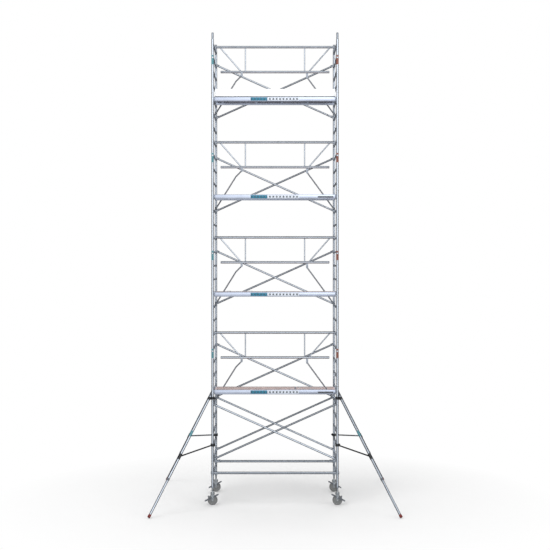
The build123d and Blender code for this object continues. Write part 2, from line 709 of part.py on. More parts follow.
def toe_board(x_range, y_range, deck_top):
    """One board on edge with two clips that hold it off the deck."""
    board_z = (deck_top + TOE_GAP, deck_top + TOE_GAP + TOE_HEIGHT)
    board = block(x_range, y_range, board_z)
    wall = TOE_CLIP_WALL
    along_x = abs(x_range[1] - x_range[0]) > abs(y_range[1] - y_range[0])
    run = x_range if along_x else y_range
    low, high = min(run), max(run)
    solids = [board]
    clip_z = (deck_top, deck_top + TOE_CLIP_HEIGHT)
    for share in TOE_CLIP_SHARES:
        middle = low + share * (high - low)
        span = (middle - TOE_CLIP_LENGTH / 2, middle + TOE_CLIP_LENGTH / 2)
        if along_x:
            clip = block(span, (min(y_range) - wall, max(y_range) + wall), clip_z)
        else:
            clip = block((min(x_range) - wall, max(x_range) + wall), span, clip_z)
        solids.append(clip - block(x_range, y_range, board_z))
    return solids


def save_toe_boards():
    deck_top = rung_z(DECK_RUNG + (LEVELS - 1) * RUNGS_PER_FRAME) + DECK_BEAM_ABOVE
    end = DECK_END - TOE_CLIP_WALL
    front = DECK_FRONT + TOE_CLIP_WALL
    back = DECK_BACK - TOE_CLIP_WALL
    solids = toe_board((-end, end), (front, front + TOE_THICKNESS), deck_top)
    solids += toe_board((-end, end), (back - TOE_THICKNESS, back), deck_top)
    inside = TOE_THICKNESS + TOE_CLIP_WALL
    for side in (-1, 1):
        x_range = (side * (end - TOE_THICKNESS), side * end)
        solids += toe_board(x_range, (front + inside, back - inside), deck_top)
    save("toe_boards", solids)


# ---- guardrails ---------------------------------------------------------------------------
def rail_hook(side, z_rung):
    """Hook that closes the top rail's end and hangs on the rung."""
    x = side * HALF_BAY
    half = RAIL_HOOK_WIDTH / 2
    hook = bar_y(x, -half, half, z_rung, HOOK_R)
    rail_z = z_rung + TOP_RAIL_LIFT
    rail_end = side * (HALF_BAY - TOP_RAIL_END)
    hook += bar((rail_end, 0, rail_z), (x - side * RUNG_R / 2, 0, rail_z), half)
    hook -= bar_y(x, -half, half, z_rung, RUNG_R)
    hook -= block((x - RUNG_R, x + RUNG_R), (-half, half), (z_rung - 2 * HOOK_R, z_rung))
    return max(hook.solids(), key=lambda solid: solid.volume)


def cut_pipe(start, end, radius, wall, cutters):
    tube = pipe(start, end, radius, wall)
    for cutter in cutters:
        tube -= cutter
    return max(tube.solids(), key=lambda solid: solid.volume)


def pivot_bracket(x, pivot_z, plane_y, mid_z):
    """Saddle under the mid rail with two plates and the folding leg's pin."""
    reach = LEG_R + LEG_SIDE_GAP + BRACKET_PLATE
    half = BRACKET_LENGTH / 2
    z_range = (pivot_z, mid_z - BRACKET_TOP)
    body = block((x - half, x + half), (plane_y - reach, plane_y + reach), z_range)
    body += bar_y(x, plane_y - reach, plane_y + reach, pivot_z, half)
    gap = reach - BRACKET_PLATE
    slot_z = (pivot_z - BRACKET_LENGTH, mid_z - BRACKET_SADDLE)
    body -= block((x - 2 * half, x + 2 * half), (plane_y - gap, plane_y + gap), slot_z)
    body -= bar((x - 2 * half, 0, mid_z), (x + 2 * half, 0, mid_z), RAIL_R)
    body -= bar_y(x, plane_y - reach, plane_y + reach, pivot_z, LEG_PIN_R)
    pin = bar_y(x, plane_y - reach, plane_y + reach, pivot_z, LEG_PIN_R)
    for side in (-1, 1):
        head_end = plane_y + side * (reach + LEG_PIN_HEAD)
        pin += bar_y(x, plane_y + side * reach, head_end, pivot_z, LEG_PIN_HEAD_R)
    return [max(body.solids(), key=lambda solid: solid.volume), pin]


def guardrail(z_rung):
    """Welded frame of two rails and four struts, two hooks and two pivot brackets."""
    top_z = z_rung + TOP_RAIL_LIFT
    mid_z = top_z - MID_RAIL_DROP
    top_end = HALF_BAY - TOP_RAIL_END
    mid_end = HALF_BAY - MID_RAIL_END
    solids = [
        pipe((-top_end, 0, top_z), (top_end, 0, top_z), RAIL_R, RAIL_WALL),
        pipe((-mid_end, 0, mid_z), (mid_end, 0, mid_z), RAIL_R, RAIL_WALL),
    ]
    cutters = [
        bar((-HALF_BAY, 0, top_z), (HALF_BAY, 0, top_z), RAIL_R),
        bar((-HALF_BAY, 0, mid_z), (HALF_BAY, 0, mid_z), RAIL_R),
    ]
    for side in (-1, 1):
        solids.append(rail_hook(side, z_rung))
        x = side * (HALF_BAY - STRUT_IN)
        solids.append(cut_pipe((x, 0, mid_z), (x, 0, top_z), STRUT_R, STRUT_WALL, cutters))
        low = (side * (HALF_BAY - BRACE_STRUT_MID_IN), 0, mid_z)
        high = (side * (HALF_BAY - BRACE_STRUT_TOP_IN), 0, top_z)
        solids.append(cut_pipe(low, high, BRACE_STRUT_R, STRUT_WALL, cutters))
    solids += pivot_bracket(LEFT_PIVOT_IN - HALF_BAY, mid_z - LEFT_PIVOT_DROP, -LEG_PLANE, mid_z)
    solids += pivot_bracket(HALF_BAY - RIGHT_PIVOT_IN, mid_z - RIGHT_PIVOT_DROP, LEG_PLANE, mid_z)
    return solids


def folding_leg(points, plane_y, rung_x, z_rung):
    """Bent or straight tube from a pivot eye to an open hook on the rung."""
    ends = [Vector(x, plane_y, z) for x, z in points] + [Vector(rung_x, plane_y, z_rung)]
    outer = None
    inner = None
    for start, end in zip(ends, ends[1:]):
        skin = bar(start, end, LEG_R) + Pos(*start) * Sphere(LEG_R)
        core = bar(start, end, LEG_R - LEG_WALL) + Pos(*start) * Sphere(LEG_R - LEG_WALL)
        outer = skin if outer is None else outer + skin
        inner = core if inner is None else inner + core
    pivot = ends[0]
    arm = (ends[-1] - pivot).normalized()
    fold = Vector(-arm.Z, 0, arm.X) if rung_x < 0 else Vector(arm.Z, 0, -arm.X)
    eye = bar_y(pivot.X, plane_y - LEG_R, plane_y + LEG_R, pivot.Z, LEG_EYE_R)
    hook = bar_y(rung_x, plane_y - LEG_R, plane_y + LEG_R, z_rung, HOOK_R)
    rung_clear = RUNG_R + SEAT_GAP
    mouth = Plane(origin=ends[-1], x_dir=(0, 1, 0), z_dir=fold * -1) * Box(
        4 * LEG_R, 2 * rung_clear, 3 * HOOK_R, align=LOW_CENTRE
    )
    leg = outer - inner + eye + hook
    leg -= bar_y(rung_x, plane_y - 2 * LEG_R, plane_y + 2 * LEG_R, z_rung, rung_clear)
    leg -= mouth
    leg -= bar_y(pivot.X, plane_y - 2 * LEG_R, plane_y + 2 * LEG_R, pivot.Z, LEG_PIN_R + FIT)
    return max(leg.solids(), key=lambda solid: solid.volume)


def save_guardrails():
    z_rung = rung_z(TOP_RAIL_RUNG)
    z_leg = rung_z(LEG_RUNG)
    mid_z = z_rung + TOP_RAIL_LIFT - MID_RAIL_DROP
    left = [
        (LEFT_PIVOT_IN - HALF_BAY, mid_z - LEFT_PIVOT_DROP),
        (LEFT_KINK_IN - HALF_BAY, mid_z - LEFT_KINK_DROP),
    ]
    right = [(HALF_BAY - RIGHT_PIVOT_IN, mid_z - RIGHT_PIVOT_DROP)]
    pieces = {
        "guardrail": guardrail(z_rung),
        "guardrail_leg_left": [folding_leg(left, -LEG_PLANE, -HALF_BAY, z_leg)],
        "guardrail_leg_right": [folding_leg(right, LEG_PLANE, HALF_BAY, z_leg)],
    }
    for name, solids in pieces.items():
        for level in range(LEVELS):
            save(f"{name}_{level + 1}", raised(solids, level))


# ---- stabilisers ----------------------------------------------------------------------------
def save_stabilisers():
    reach = hypot(FOOT_X, FOOT_Y)
    foot_z = FOOT_R * sin(atan2(reach - STABILISER_OUT, UPPER_CLAMP))
    for sx, sy in CORNERS:
        name = corner_name(sx, sy)
        x = sx * HALF_BAY
        y = sy * HALF_WIDTH
        outward = Vector(sx * FOOT_X, sy * FOOT_Y, 0).normalized()

        def place(out, z):
            return Vector(x, y, z) + outward * out

        top = place(STABILISER_OUT, UPPER_CLAMP)
        foot = place(reach, foot_z)
        along = (foot - top).normalized()
        length = (foot - top).length
        tail = top - along * STABILISER_TAIL
        outer_end = top + along * (OUTER_SHARE * length)
        node = [pipe(tail, outer_end, UPRIGHT_R, UPRIGHT_WALL)]
        tube_space = bar(tail - along * SLEEVE_LENGTH, outer_end, UPRIGHT_R)
        joint = top + along * (STRUT_SHARE * length)
        sleeve_half = along * (STRUT_SLEEVE_LENGTH / 2)
        sleeve = bar(joint - sleeve_half, joint + sleeve_half, SLEEVE_R)
        half = CLAMP_HEIGHT / 2
        turn = degrees(atan2(outward.Y, outward.X))
        arm_block = Pos(x, y, UPPER_CLAMP) * Rot(0, 0, turn) * Box(
            STABILISER_OUT, CLAMP_BLOCK, CLAMP_HEIGHT, align=(Align.MIN, Align.CENTER, Align.CENTER)
        )
        upper = bar_z(x, y, UPPER_CLAMP - half, UPPER_CLAMP + half, CLAMP_R) + arm_block
        upper += bar(top - along * SLEEVE_LENGTH / 2, top + along * SLEEVE_LENGTH / 2, SLEEVE_R)
        upright_space = bar_z(x, y, 0, 2 * UPPER_CLAMP, UPRIGHT_R + FIT)
        node.append(upper - upright_space - tube_space)
        ring = bar_z(x, y, LOWER_CLAMP - half, LOWER_CLAMP + half, CLAMP_R)
        node.append(ring - upright_space)
        strut = pipe(place(0, LOWER_CLAMP), joint, STABILISER_STRUT_R, STRUT_WALL)
        strut = strut - ring - sleeve - tube_space
        node.append(max(strut.solids(), key=lambda solid: solid.volume))
        node.append(sleeve - tube_space)
        save(f"stabiliser_arm_{name}", node)

        inner_r = UPRIGHT_R - UPRIGHT_WALL - FIT
        inner_end = foot - along * (FOOT_LENGTH - FOOT_SOCKET)
        inner_start = outer_end - along * INNER_OVERLAP
        save(f"stabiliser_leg_{name}", [pipe(inner_start, inner_end, inner_r, UPRIGHT_WALL)])
        cap = bar(foot - along * FOOT_LENGTH, foot, FOOT_R) - bar(inner_start, inner_end, inner_r)
        save(f"stabiliser_foot_{name}", [cap])


os.makedirs("parts", exist_ok=True)
save_frames()
save_casters()
save_braces()
save_decks()
save_toe_boards()
save_guardrails()
save_stabilisers()
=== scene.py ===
"""Looks of a mobile tower scaffold, laid out as an add-on and run as a script.

Metres, +Z up, +X along the bay, front at -Y, origin on the floor under the middle.
"""

import json
from contextlib import contextmanager
from math import atan2, cos, hypot, pi, radians, sin

import bpy
from mathutils import Matrix, Vector


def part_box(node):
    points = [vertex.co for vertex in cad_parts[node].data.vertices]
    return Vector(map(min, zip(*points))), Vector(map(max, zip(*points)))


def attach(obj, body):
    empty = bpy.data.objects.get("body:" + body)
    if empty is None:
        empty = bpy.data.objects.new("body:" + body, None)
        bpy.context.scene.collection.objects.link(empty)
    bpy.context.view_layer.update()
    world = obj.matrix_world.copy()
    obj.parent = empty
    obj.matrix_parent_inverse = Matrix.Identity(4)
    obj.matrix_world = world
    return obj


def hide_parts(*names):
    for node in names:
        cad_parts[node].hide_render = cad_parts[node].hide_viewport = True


bl_info = {
    "name": "Tower Scaffold",
    "version": (1, 0, 0),
    "blender": (4, 5, 0),
    "location": "3D Viewport > Sidebar > Scaffold",
    "description": "Finishes and fittings of a rolling tower scaffold",
    "category": "Object",
}

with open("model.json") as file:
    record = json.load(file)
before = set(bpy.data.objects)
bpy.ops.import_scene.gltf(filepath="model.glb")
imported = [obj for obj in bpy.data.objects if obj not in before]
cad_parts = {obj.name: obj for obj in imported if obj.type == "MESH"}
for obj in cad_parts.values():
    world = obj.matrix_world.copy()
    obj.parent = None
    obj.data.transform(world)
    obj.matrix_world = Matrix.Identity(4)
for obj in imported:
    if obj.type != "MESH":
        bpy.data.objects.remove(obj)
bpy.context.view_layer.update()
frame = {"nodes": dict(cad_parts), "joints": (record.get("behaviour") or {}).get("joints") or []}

# ---- places and sizes, some read from the frame, the others given ------------------------
LEVELS = 4
RUNGS_PER_FRAME = 7
TOP_FRAME_RUNGS = 4
FIRST_RUNG_RISE = 0.22
frame_low, frame_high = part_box("frame_left_1")
UPRIGHT_R = (frame_high.x - frame_low.x) / 2
HALF_BAY = -(frame_low.x + frame_high.x) / 2
HALF_WIDTH = frame_high.y - UPRIGHT_R
FRAME_BASE = frame_low.z
FRAME_HEIGHT = frame_high.z - frame_low.z
RUNG_PITCH = FRAME_HEIGHT / RUNGS_PER_FRAME
RUNG_R = 0.019
WHEEL_R = (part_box("wheel_front_left")[1].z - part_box("wheel_front_left")[0].z) / 2
DECK_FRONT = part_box("deck_frames")[0].y
DECK_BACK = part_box("deck_frames")[1].y
DECK_ABOVE_RUNG = 0.035
BEAM_END = HALF_BAY - 0.038
TOP_RAIL_LIFT = 0.022
MID_RAIL_DROP = 0.513
STRUT_X = 0.610              # upright struts of a guardrail
SLANT_FOOT_X = 0.690         # slanting struts on the mid rail
SLANT_TOP_X = 1.140          # slanting struts on the top rail
KNEE = (-0.804, 0.119)       # bend of the left folding leg: place along the bay, drop below its pivot
BRACE_LIFT = 0.028           # brace axis above its rung
BRACE_INSET = 0.058          # outer brace plane behind the uprights
BRACE_SPACING = 0.042
BRACE_BASE, BRACE_MIDDLE, BRACE_TOP = 1, 5, 9  # rungs that the diagonal braces hang on
LEVEL_BRACE_LIFT = 0.055     # horizontal brace above the lowest rung
CLAMP_HEIGHTS = (2.14, 1.20)
OUTER_SHARE = 0.70           # end of a stabiliser's outer tube along the whole stabiliser
BAND_SHARE = 0.31            # middle of its coloured band
FRAME_BAND_RISE = 0.71       # middle of a frame's bands above its lower end
TREADLES = ((-0.145, 0.082), (0.110, 0.207))  # treads of a brake pedal: place along it, height
SIDES = (("left", -1), ("right", 1))
CORNERS = {
    f"{end}_{side_name}": (side, side_y)
    for end, side_y in (("front", -1), ("rear", 1))
    for side_name, side in SIDES
}
JOINTS = {joint["name"]: joint for joint in frame["joints"]}


def rung_z(number):
    return FRAME_BASE + FIRST_RUNG_RISE + number * RUNG_PITCH


def deck_top(level):
    return rung_z(RUNGS_PER_FRAME - 1 + level * RUNGS_PER_FRAME) + DECK_ABOVE_RUNG


# ---- what a user would change ------------------------------------------------------------
def colour_property(name, description, default):
    return bpy.props.FloatVectorProperty(
        name=name, description=description, subtype="COLOR", size=3, default=default
    )


def length_property(name, description, default):
    return bpy.props.FloatProperty(name=name, description=description, unit="LENGTH", default=default)


class ScaffoldColours(bpy.types.PropertyGroup):
    """Colours of the finishes."""

    tube: colour_property("Tube", "Mill finish aluminium", (0.70, 0.745, 0.82))
    casting: colour_property("Casting", "Cast claws and hooks", (0.42, 0.455, 0.51))
    board: colour_property("Board", "Faced plywood", (0.62, 0.455, 0.425))
    toe_board: colour_property("Toe board", "White paint", (0.80, 0.82, 0.83))
    left_band: colour_property("Left band", "Bands of the left frames", (0.07, 0.20, 0.235))
    right_band: colour_property("Right band", "Bands of the right frames", (0.16, 0.05, 0.033))
    wheel: colour_property("Wheel", "Moulded wheel", (0.20, 0.205, 0.205))
    foot: colour_property("Foot", "Rubber feet", (0.16, 0.022, 0.018))


class ScaffoldSizes(bpy.types.PropertyGroup):
    """Sizes of the small pieces that the frame doesn't hold."""

    rib_height: length_property("Rung rib", "Height of the ribs on a rung", 0.0009)
    weld_r: length_property("Weld bead", "Radius of a weld bead", 0.0032)
    thread_pitch: length_property("Thread pitch", "Pitch of the leg's thread", 0.008)
    rivet_r: length_property("Rivet", "Radius of a rivet head", 0.005)
    band_thickness: length_property("Band", "Thickness of the coloured bands", 0.0005)


# ---- shader maths ---------------------------------------------------------------------------
class Value:
    """A number that varies over a surface; arithmetic on it adds Math nodes."""

    def __init__(self, finish, socket):
        self.finish = finish
        self.socket = socket

    def __add__(self, other):
        return self.finish.maths("ADD", self, other)

    def __sub__(self, other):
        return self.finish.maths("SUBTRACT", self, other)

    def __rsub__(self, other):
        return self.finish.maths("SUBTRACT", other, self)

    def __mul__(self, other):
        return self.finish.maths("MULTIPLY", self, other)

    def __gt__(self, other):
        return self.finish.maths("GREATER_THAN", self, other)

    def __lt__(self, other):
        return self.finish.maths("LESS_THAN", self, other)

    def fract(self):
        return self.finish.maths("FRACT", self)

    def absolute(self):
        return self.finish.maths("ABSOLUTE", self)

    __radd__ = __add__
    __rmul__ = __mul__


class NodeMaker:
    """Adds nodes to one tree; its place is one output of Texture Coordinate."""

    def __init__(self, tree, coordinates):
        self.tree = tree
        self.place = Value(self, tree.nodes.new("ShaderNodeTexCoord").outputs[coordinates])

    def node(self, kind, settings=None, out=0, **inputs):
        """Any node: its settings are set first, then its inputs by name, with _ for a space."""
        made = self.tree.nodes.new(kind)
        for name, value in (settings or {}).items():
            setattr(made, name, value)
        for name, value in inputs.items():
            key = int(name[1:]) if name[0] == "i" and name[1:].isdigit() else name.replace("_", " ")
            self.feed(made.inputs[key], value)
        return Value(self, made.outputs[out])

    def feed(self, socket, value):
        if isinstance(value, Value):
            self.tree.links.new(value.socket, socket)
        else:
            socket.default_value = value

    def maths(self, operation, first, second=0.0):
        return self.node("ShaderNodeMath", {"operation": operation}, i0=first, i1=second)

    def stretched(self, scale, turn=(0.0, 0.0, 0.0)):
        """Object coordinates turned and scaled on each axis."""
        return self.node("ShaderNodeMapping", Vector=self.place, Scale=scale, Rotation=turn)

    def noise(self, scale, stretch=(1, 1, 1), detail=3.0, roughness=0.5, turn=(0.0, 0.0, 0.0)):
        where = self.stretched(stretch, turn)
        return self.node(
            "ShaderNodeTexNoise", Vector=where, Scale=scale, Detail=detail, Roughness=roughness
        )

    def spread(self, value, low, high, to_low=0.0, to_high=1.0):
        """Maps a value from low..high to a new range, held at its ends."""
        return self.node("ShaderNodeMapRange", i0=value, i1=low, i2=high, i3=to_low, i4=to_high)

    def mix(self, first, second, share):
        first = (*first, 1.0) if isinstance(first, tuple) else first
        second = (*second, 1.0) if isinstance(second, tuple) else second
        return self.node("ShaderNodeMix", {"data_type": "RGBA"}, out=2, i0=share, i6=first, i7=second)

    def split(self):
        """The three parts of the place as values."""
        parts = self.tree.nodes.new("ShaderNodeSeparateXYZ")
        self.tree.links.new(self.place.socket, parts.inputs[0])
        return [Value(self, output) for output in parts.outputs]


class Finish(NodeMaker):
    """One material and the nodes that make it."""

    def __init__(self, name):
        self.material = bpy.data.materials.new(name)
        self.material.use_nodes = True
        super().__init__(self.material.node_tree, "Object")
        self.shader = self.tree.nodes["Principled BSDF"]

    def bump(self, height, strength, distance):
        relief = self.node("ShaderNodeBump", Strength=strength, Distance=distance, Height=height)
        self.feed(self.shader.inputs["Normal"], relief)

    def surface(self, colour, roughness, metallic=0.0, coat=0.0):
        colour = (*colour, 1.0) if isinstance(colour, tuple) else colour
        self.feed(self.shader.inputs["Base Color"], colour)
        self.feed(self.shader.inputs["Roughness"], roughness)
        self.shader.inputs["Metallic"].default_value = metallic
        self.shader.inputs["Coat Weight"].default_value = coat
        return self.material


def shade(colour, factor):
    return tuple(min(1.0, part * factor) for part in colour)


STRETCH = {"x": (0.04, 1, 1), "y": (1, 0.04, 1), "z": (1, 1, 0.04)}


def tube_finish(name, colour, along, turn=0.0, relief=0.05):
    """Extruded aluminium: die lines along the tube, handling marks and dull patches."""
    finish = Finish(name)
    turned = (0.0, turn, 0.0)
    lines = finish.noise(900.0, STRETCH[along], 2.0, turn=turned)
    patches = finish.noise(5.0, detail=5.0, roughness=0.6)
    scuffs = finish.noise(55.0, (1, 1, 0.35), 4.0, 0.65)
    worn = finish.spread(scuffs, 0.60, 0.74)
    tone = finish.mix(shade(colour, 0.90), shade(colour, 1.06), finish.spread(patches, 0.32, 0.68))
    tone = finish.mix(tone, shade(colour, 0.72), finish.spread(lines, 0.52, 0.80, 0.0, 0.25))
    tone = finish.mix(tone, shade(colour, 1.15), worn * 0.35)
    finish.bump(lines * 0.85 + scuffs * 0.15, relief, 0.0005)
    roughness = finish.spread(patches + lines * 0.3, 0.35, 0.95, 0.20, 0.36)
    return finish.surface(tone, roughness, 0.92)


def casting_finish(name, colour):
    """Cast aluminium with a grainy skin and brighter rubbed high spots."""
    finish = Finish(name)
    grain = finish.noise(700.0, detail=3.0)
    blotches = finish.noise(28.0, detail=4.0, roughness=0.6)
    tone = finish.mix(shade(colour, 0.72), shade(colour, 1.15), finish.spread(blotches, 0.35, 0.65))
    tone = finish.mix(tone, shade(colour, 1.5), finish.spread(grain, 0.66, 0.74, 0.0, 0.35))
    finish.bump(grain, 0.35, 0.0008)
    return finish.surface(tone, finish.spread(blotches, 0.3, 0.7, 0.42, 0.62), 0.75)


def steel_finish(name, colour):
    """Zinc plate with faint cloudy passivation."""
    finish = Finish(name)
    clouds = finish.noise(45.0, detail=5.0, roughness=0.7)
    fine = finish.noise(1400.0, detail=2.0)
    warm = (colour[0] * 1.12, colour[1] * 1.04, colour[2] * 0.86)
    tone = finish.mix(colour, warm, finish.spread(clouds, 0.42, 0.66, 0.0, 0.6))
    tone = finish.mix(tone, shade(colour, 0.55), finish.spread(clouds, 0.64, 0.78, 0.0, 0.6))
    finish.bump(fine, 0.12, 0.0004)
    return finish.surface(tone, finish.spread(clouds, 0.3, 0.7, 0.24, 0.44), 0.95)


def paint_finish(name, colour, roughness=0.38, metallic=0.0, coat=0.3):
    """Sprayed paint: slight orange peel, dust and small chips."""
    finish = Finish(name)
    peel = finish.noise(420.0, detail=2.0)
    dust = finish.noise(9.0, detail=6.0, roughness=0.7)
    chips = finish.noise(160.0, detail=3.0, roughness=0.7)
    tone = finish.mix(colour, shade(colour, 0.82), finish.spread(dust, 0.45, 0.72, 0.0, 0.6))
    tone = finish.mix(tone, shade(colour, 0.55), finish.spread(chips, 0.735, 0.76, 0.0, 0.5))
    finish.bump(peel, 0.10, 0.0005)
    shine = finish.spread(dust, 0.3, 0.7, roughness - 0.08, roughness + 0.12)
    return finish.surface(tone, shine, metallic, coat)


def moulded_finish(name, colour, roughness=0.5, grain_size=900.0):
    """Moulded plastic or rubber with a fine matt grain and grey scuffs."""
    finish = Finish(name)
    grain = finish.noise(grain_size, detail=2.0)
    scuffs = finish.noise(34.0, (1, 1, 0.4), 5.0, 0.7)
    pale = tuple(part * 0.6 + 0.14 for part in colour)
    tone = finish.mix(colour, pale, finish.spread(scuffs, 0.56, 0.74, 0.0, 0.55))
    finish.bump(grain, 0.25, 0.0006)
    return finish.surface(tone, finish.spread(scuffs, 0.35, 0.7, roughness - 0.08, roughness + 0.14), 0.0)


def plywood_finish(name, colour):
    """Phenolic-faced plywood: fine non-slip grid on the face, plies on the edges, worn paths."""
    finish = Finish(name)
    x, y, z = finish.split()
    grid = ((x * 160.0).fract() - 0.5).absolute() + ((y * 160.0).fract() - 0.5).absolute()
    figure = finish.noise(26.0, (0.12, 1, 1), 6.0, 0.6)
    wear = finish.noise(3.5, detail=6.0, roughness=0.65)
    plies = (z * 620.0).fract() > 0.5
    # The normal is read in object space, so that an open hatch keeps its look.
    facing = finish.node("ShaderNodeTexCoord", out=1)
    normal = finish.node("ShaderNodeSeparateXYZ", out=2, Vector=facing)
    edge = normal.absolute() < 0.5
    face = finish.mix(shade(colour, 0.78), shade(colour, 1.22), finish.spread(figure, 0.35, 0.68))
    face = finish.mix(face, shade(colour, 1.75), finish.spread(wear, 0.52, 0.72, 0.0, 0.45))
    # Faces that point down get a much darker tone: painted shade under the decks, together with the darker
    # brown underside of the boards.
    face = finish.mix(face, shade(colour, 0.22), normal < -0.5)
    side = finish.mix((0.40, 0.27, 0.16), (0.62, 0.46, 0.30), plies)
    tone = finish.mix(face, side, edge)
    finish.bump(finish.spread(grid, 0.15, 0.6) * (1 - edge) + figure * 0.4, 0.22, 0.0007)
    return finish.surface(tone, finish.spread(wear, 0.35, 0.7, 0.18, 0.36), 0.0, 0.5)


def band_finish(name, colour, mark_colour, middle, bar_pitch, bar_half, depth_half):
    """Printed film: a plain ground with a row of plain upright bars, a slight crease pattern in its relief,
    and painted shade darkening the ground along the creases.
    """
    finish = Finish(name)
    x, _, z = finish.split()
    bars = ((x * (1 / bar_pitch)).fract() - 0.5).absolute() < bar_half
    level = (z - middle).absolute() < depth_half
    crease_relief_and_shade = finish.noise(18.0, (1, 1, 3), 4.0)
    # The ground is darker along the creases: painted shade.
    ground = finish.mix(colour, shade(colour, 0.82), finish.spread(crease_relief_and_shade, 0.45, 0.7, 0.0, 0.7))
    tone = finish.mix(ground, mark_colour, bars * level)
    finish.bump(crease_relief_and_shade, 0.08, 0.0006)
    return finish.surface(tone, finish.spread(crease_relief_and_shade, 0.3, 0.7, 0.30, 0.42), 0.0, 0.2)


def floor_finish(name):
    """Matt white floor that fades into the white backdrop far from the middle."""
    finish = Finish(name)
    cloud = finish.noise(0.6, detail=3.0)
    x, y, _ = finish.split()
    distance = (x * x + y * y) * 0.01
    tone = finish.mix((0.645, 0.645, 0.645), (0.675, 0.675, 0.675), cloud)
    finish.surface(tone, 0.9)
    backdrop = finish.node("ShaderNodeEmission", Color=(1.0, 1.0, 1.0, 1.0), Strength=1.0)
    fade = finish.spread(distance, 0.02, 0.34)
    matt = Value(finish, finish.shader.outputs[0])
    blend = finish.node("ShaderNodeMixShader", i0=fade, i1=matt, i2=backdrop)
    finish.feed(finish.tree.nodes["Material Output"].inputs["Surface"], blend)
    return finish.material


MATERIALS = {}


def make_materials():
    scene_colours = bpy.context.scene.scaffold_colours
    colours = {name: tuple(getattr(scene_colours, name)) for name in ScaffoldColours.__annotations__}
    tube = colours["tube"]
    rise = rung_z(BRACE_TOP) - rung_z(BRACE_MIDDLE)
    slope = atan2(rise, 2 * HALF_BAY)
    clean = 0.02  # relief of the braces, which are smoother than the frames
    looks = (
        (tube_finish, "tube_z", "aluminium_upright", tube, "z"),
        (tube_finish, "tube_y", "aluminium_rung", shade(tube, 0.96), "y"),
        # The guardrail rails are the frames' aluminium made darker: painted shade.
        (tube_finish, "tube_x", "aluminium_rail", shade(tube, 0.70), "x"),
        # The braces are the frames' aluminium darkened by how light falls on them: painted shade, darkest on
        # the rising and level braces, lighter on the falling ones.
        (tube_finish, "tube_rising", "aluminium_brace_rising", shade(tube, 0.56), "x", slope, clean),
        (tube_finish, "tube_falling", "aluminium_brace_falling", shade(tube, 0.86), "x", -slope, clean),
        (tube_finish, "tube_level", "aluminium_brace_level", shade(tube, 0.60), "x", 0.0, clean),
        (tube_finish, "tube_splayed", "aluminium_stabiliser", shade(tube, 0.95), "z"),
        # The folding legs are the frames' aluminium made much darker: painted shade, where they lie under the
        # decks.
        (tube_finish, "tube_leg", "aluminium_folding_leg", shade(tube, 0.40), "z"),
        (tube_finish, "beam", "anodised_beam", (0.60, 0.64, 0.76), "x"),
        # The beam ribs are the beam's aluminium made dark: painted shade along the beams' top and bottom
        # edges.
        (tube_finish, "beam_edge", "anodised_beam_edge", (0.30, 0.31, 0.36), "x"),
        (casting_finish, "casting", "cast_fitting", colours["casting"]),
        (steel_finish, "steel", "zinc_plate", (0.55, 0.58, 0.62)),
        (paint_finish, "caster", "caster_grey", (0.30, 0.32, 0.34), 0.36, 0.55),
        (moulded_finish, "black", "black_clamp", (0.018, 0.019, 0.021), 0.42),
        (moulded_finish, "cap", "grey_cap", (0.10, 0.11, 0.13), 0.48),
        (moulded_finish, "trigger", "trigger_grey", (0.075, 0.085, 0.10), 0.45),
        (moulded_finish, "wheel", "wheel_nylon", colours["wheel"], 0.46),
        (moulded_finish, "tread", "wheel_tread", shade(colours["wheel"], 0.72), 0.62),
        (moulded_finish, "foot", "foot_rubber", colours["foot"], 0.62, 500.0),
        (plywood_finish, "plywood", "faced_plywood", colours["board"]),
        (paint_finish, "toe", "toe_board_white", colours["toe_board"], 0.42),
        (paint_finish, "left_band", "band_teal", colours["left_band"], 0.34),
        (paint_finish, "right_band", "band_red", colours["right_band"], 0.34),
        (paint_finish, "dark_label", "label_dark", (0.05, 0.055, 0.065), 0.4),
    )
    for make, key, *settings in looks:
        MATERIALS[key] = make(*settings)


# ---- modelling helpers ------------------------------------------------------------------------
def deselect():
    bpy.ops.object.select_all(action="DESELECT")


def choose(obj):
    """Make one object the only selected and active one."""
    deselect()
    obj.select_set(True)
    bpy.context.view_layer.objects.active = obj


def settle(obj):
    """Bring an object's place, turn and scale into its mesh."""
    choose(obj)
    bpy.ops.object.transform_apply(location=True, rotation=True, scale=True)
    return obj


def moved(obj, place):
    """Move a mesh by a matrix or an offset."""
    obj.data.transform(place if isinstance(place, Matrix) else Matrix.Translation(place))
    return obj


@contextmanager
def editing(obj):
    """Edit mode on one object with everything selected."""
    choose(obj)
    bpy.ops.object.mode_set(mode="EDIT")
    bpy.ops.mesh.select_all(action="SELECT")
    yield
    bpy.ops.object.mode_set(mode="OBJECT")


def joined(parts):
    """One object from several."""
    deselect()
    for part in parts:
        part.select_set(True)
    bpy.context.view_layer.objects.active = parts[0]
    if len(parts) > 1:
        bpy.ops.object.join()
    return bpy.context.view_layer.objects.active


def repeated(template, places):
    """Copies of a template at several matrices, each with its own mesh, joined; the template goes."""
    copies = []
    for place in places:
        copy = template.copy()
        copy.data = template.data.copy()
        copy.data.transform(place)
        if place.determinant() < 0:
            copy.data.flip_normals()
        bpy.context.scene.collection.objects.link(copy)
        copies.append(copy)
    bpy.data.objects.remove(template)
    return joined(copies)


def finished(obj, name, body, material, replaces=(), angle=35.0):
    """Name a piece, give it its material and smooth shading, and put it on its body."""
    settle(obj)
    obj.name = name
    obj.data.name = name
    obj.data.materials.clear()
    obj.data.materials.append(MATERIALS[material])
    bpy.ops.object.shade_smooth_by_angle(angle=radians(angle))
    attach(obj, body)
    if replaces:
        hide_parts(*replaces)
    return obj


def modified(obj, kind, **settings):
    """Add a modifier and apply it."""
    choose(obj)
    modifier = obj.modifiers.new(kind.lower(), kind)
    for name, value in settings.items():
        setattr(modifier, name, value)
    bpy.ops.object.modifier_apply(modifier=modifier.name)
    return obj


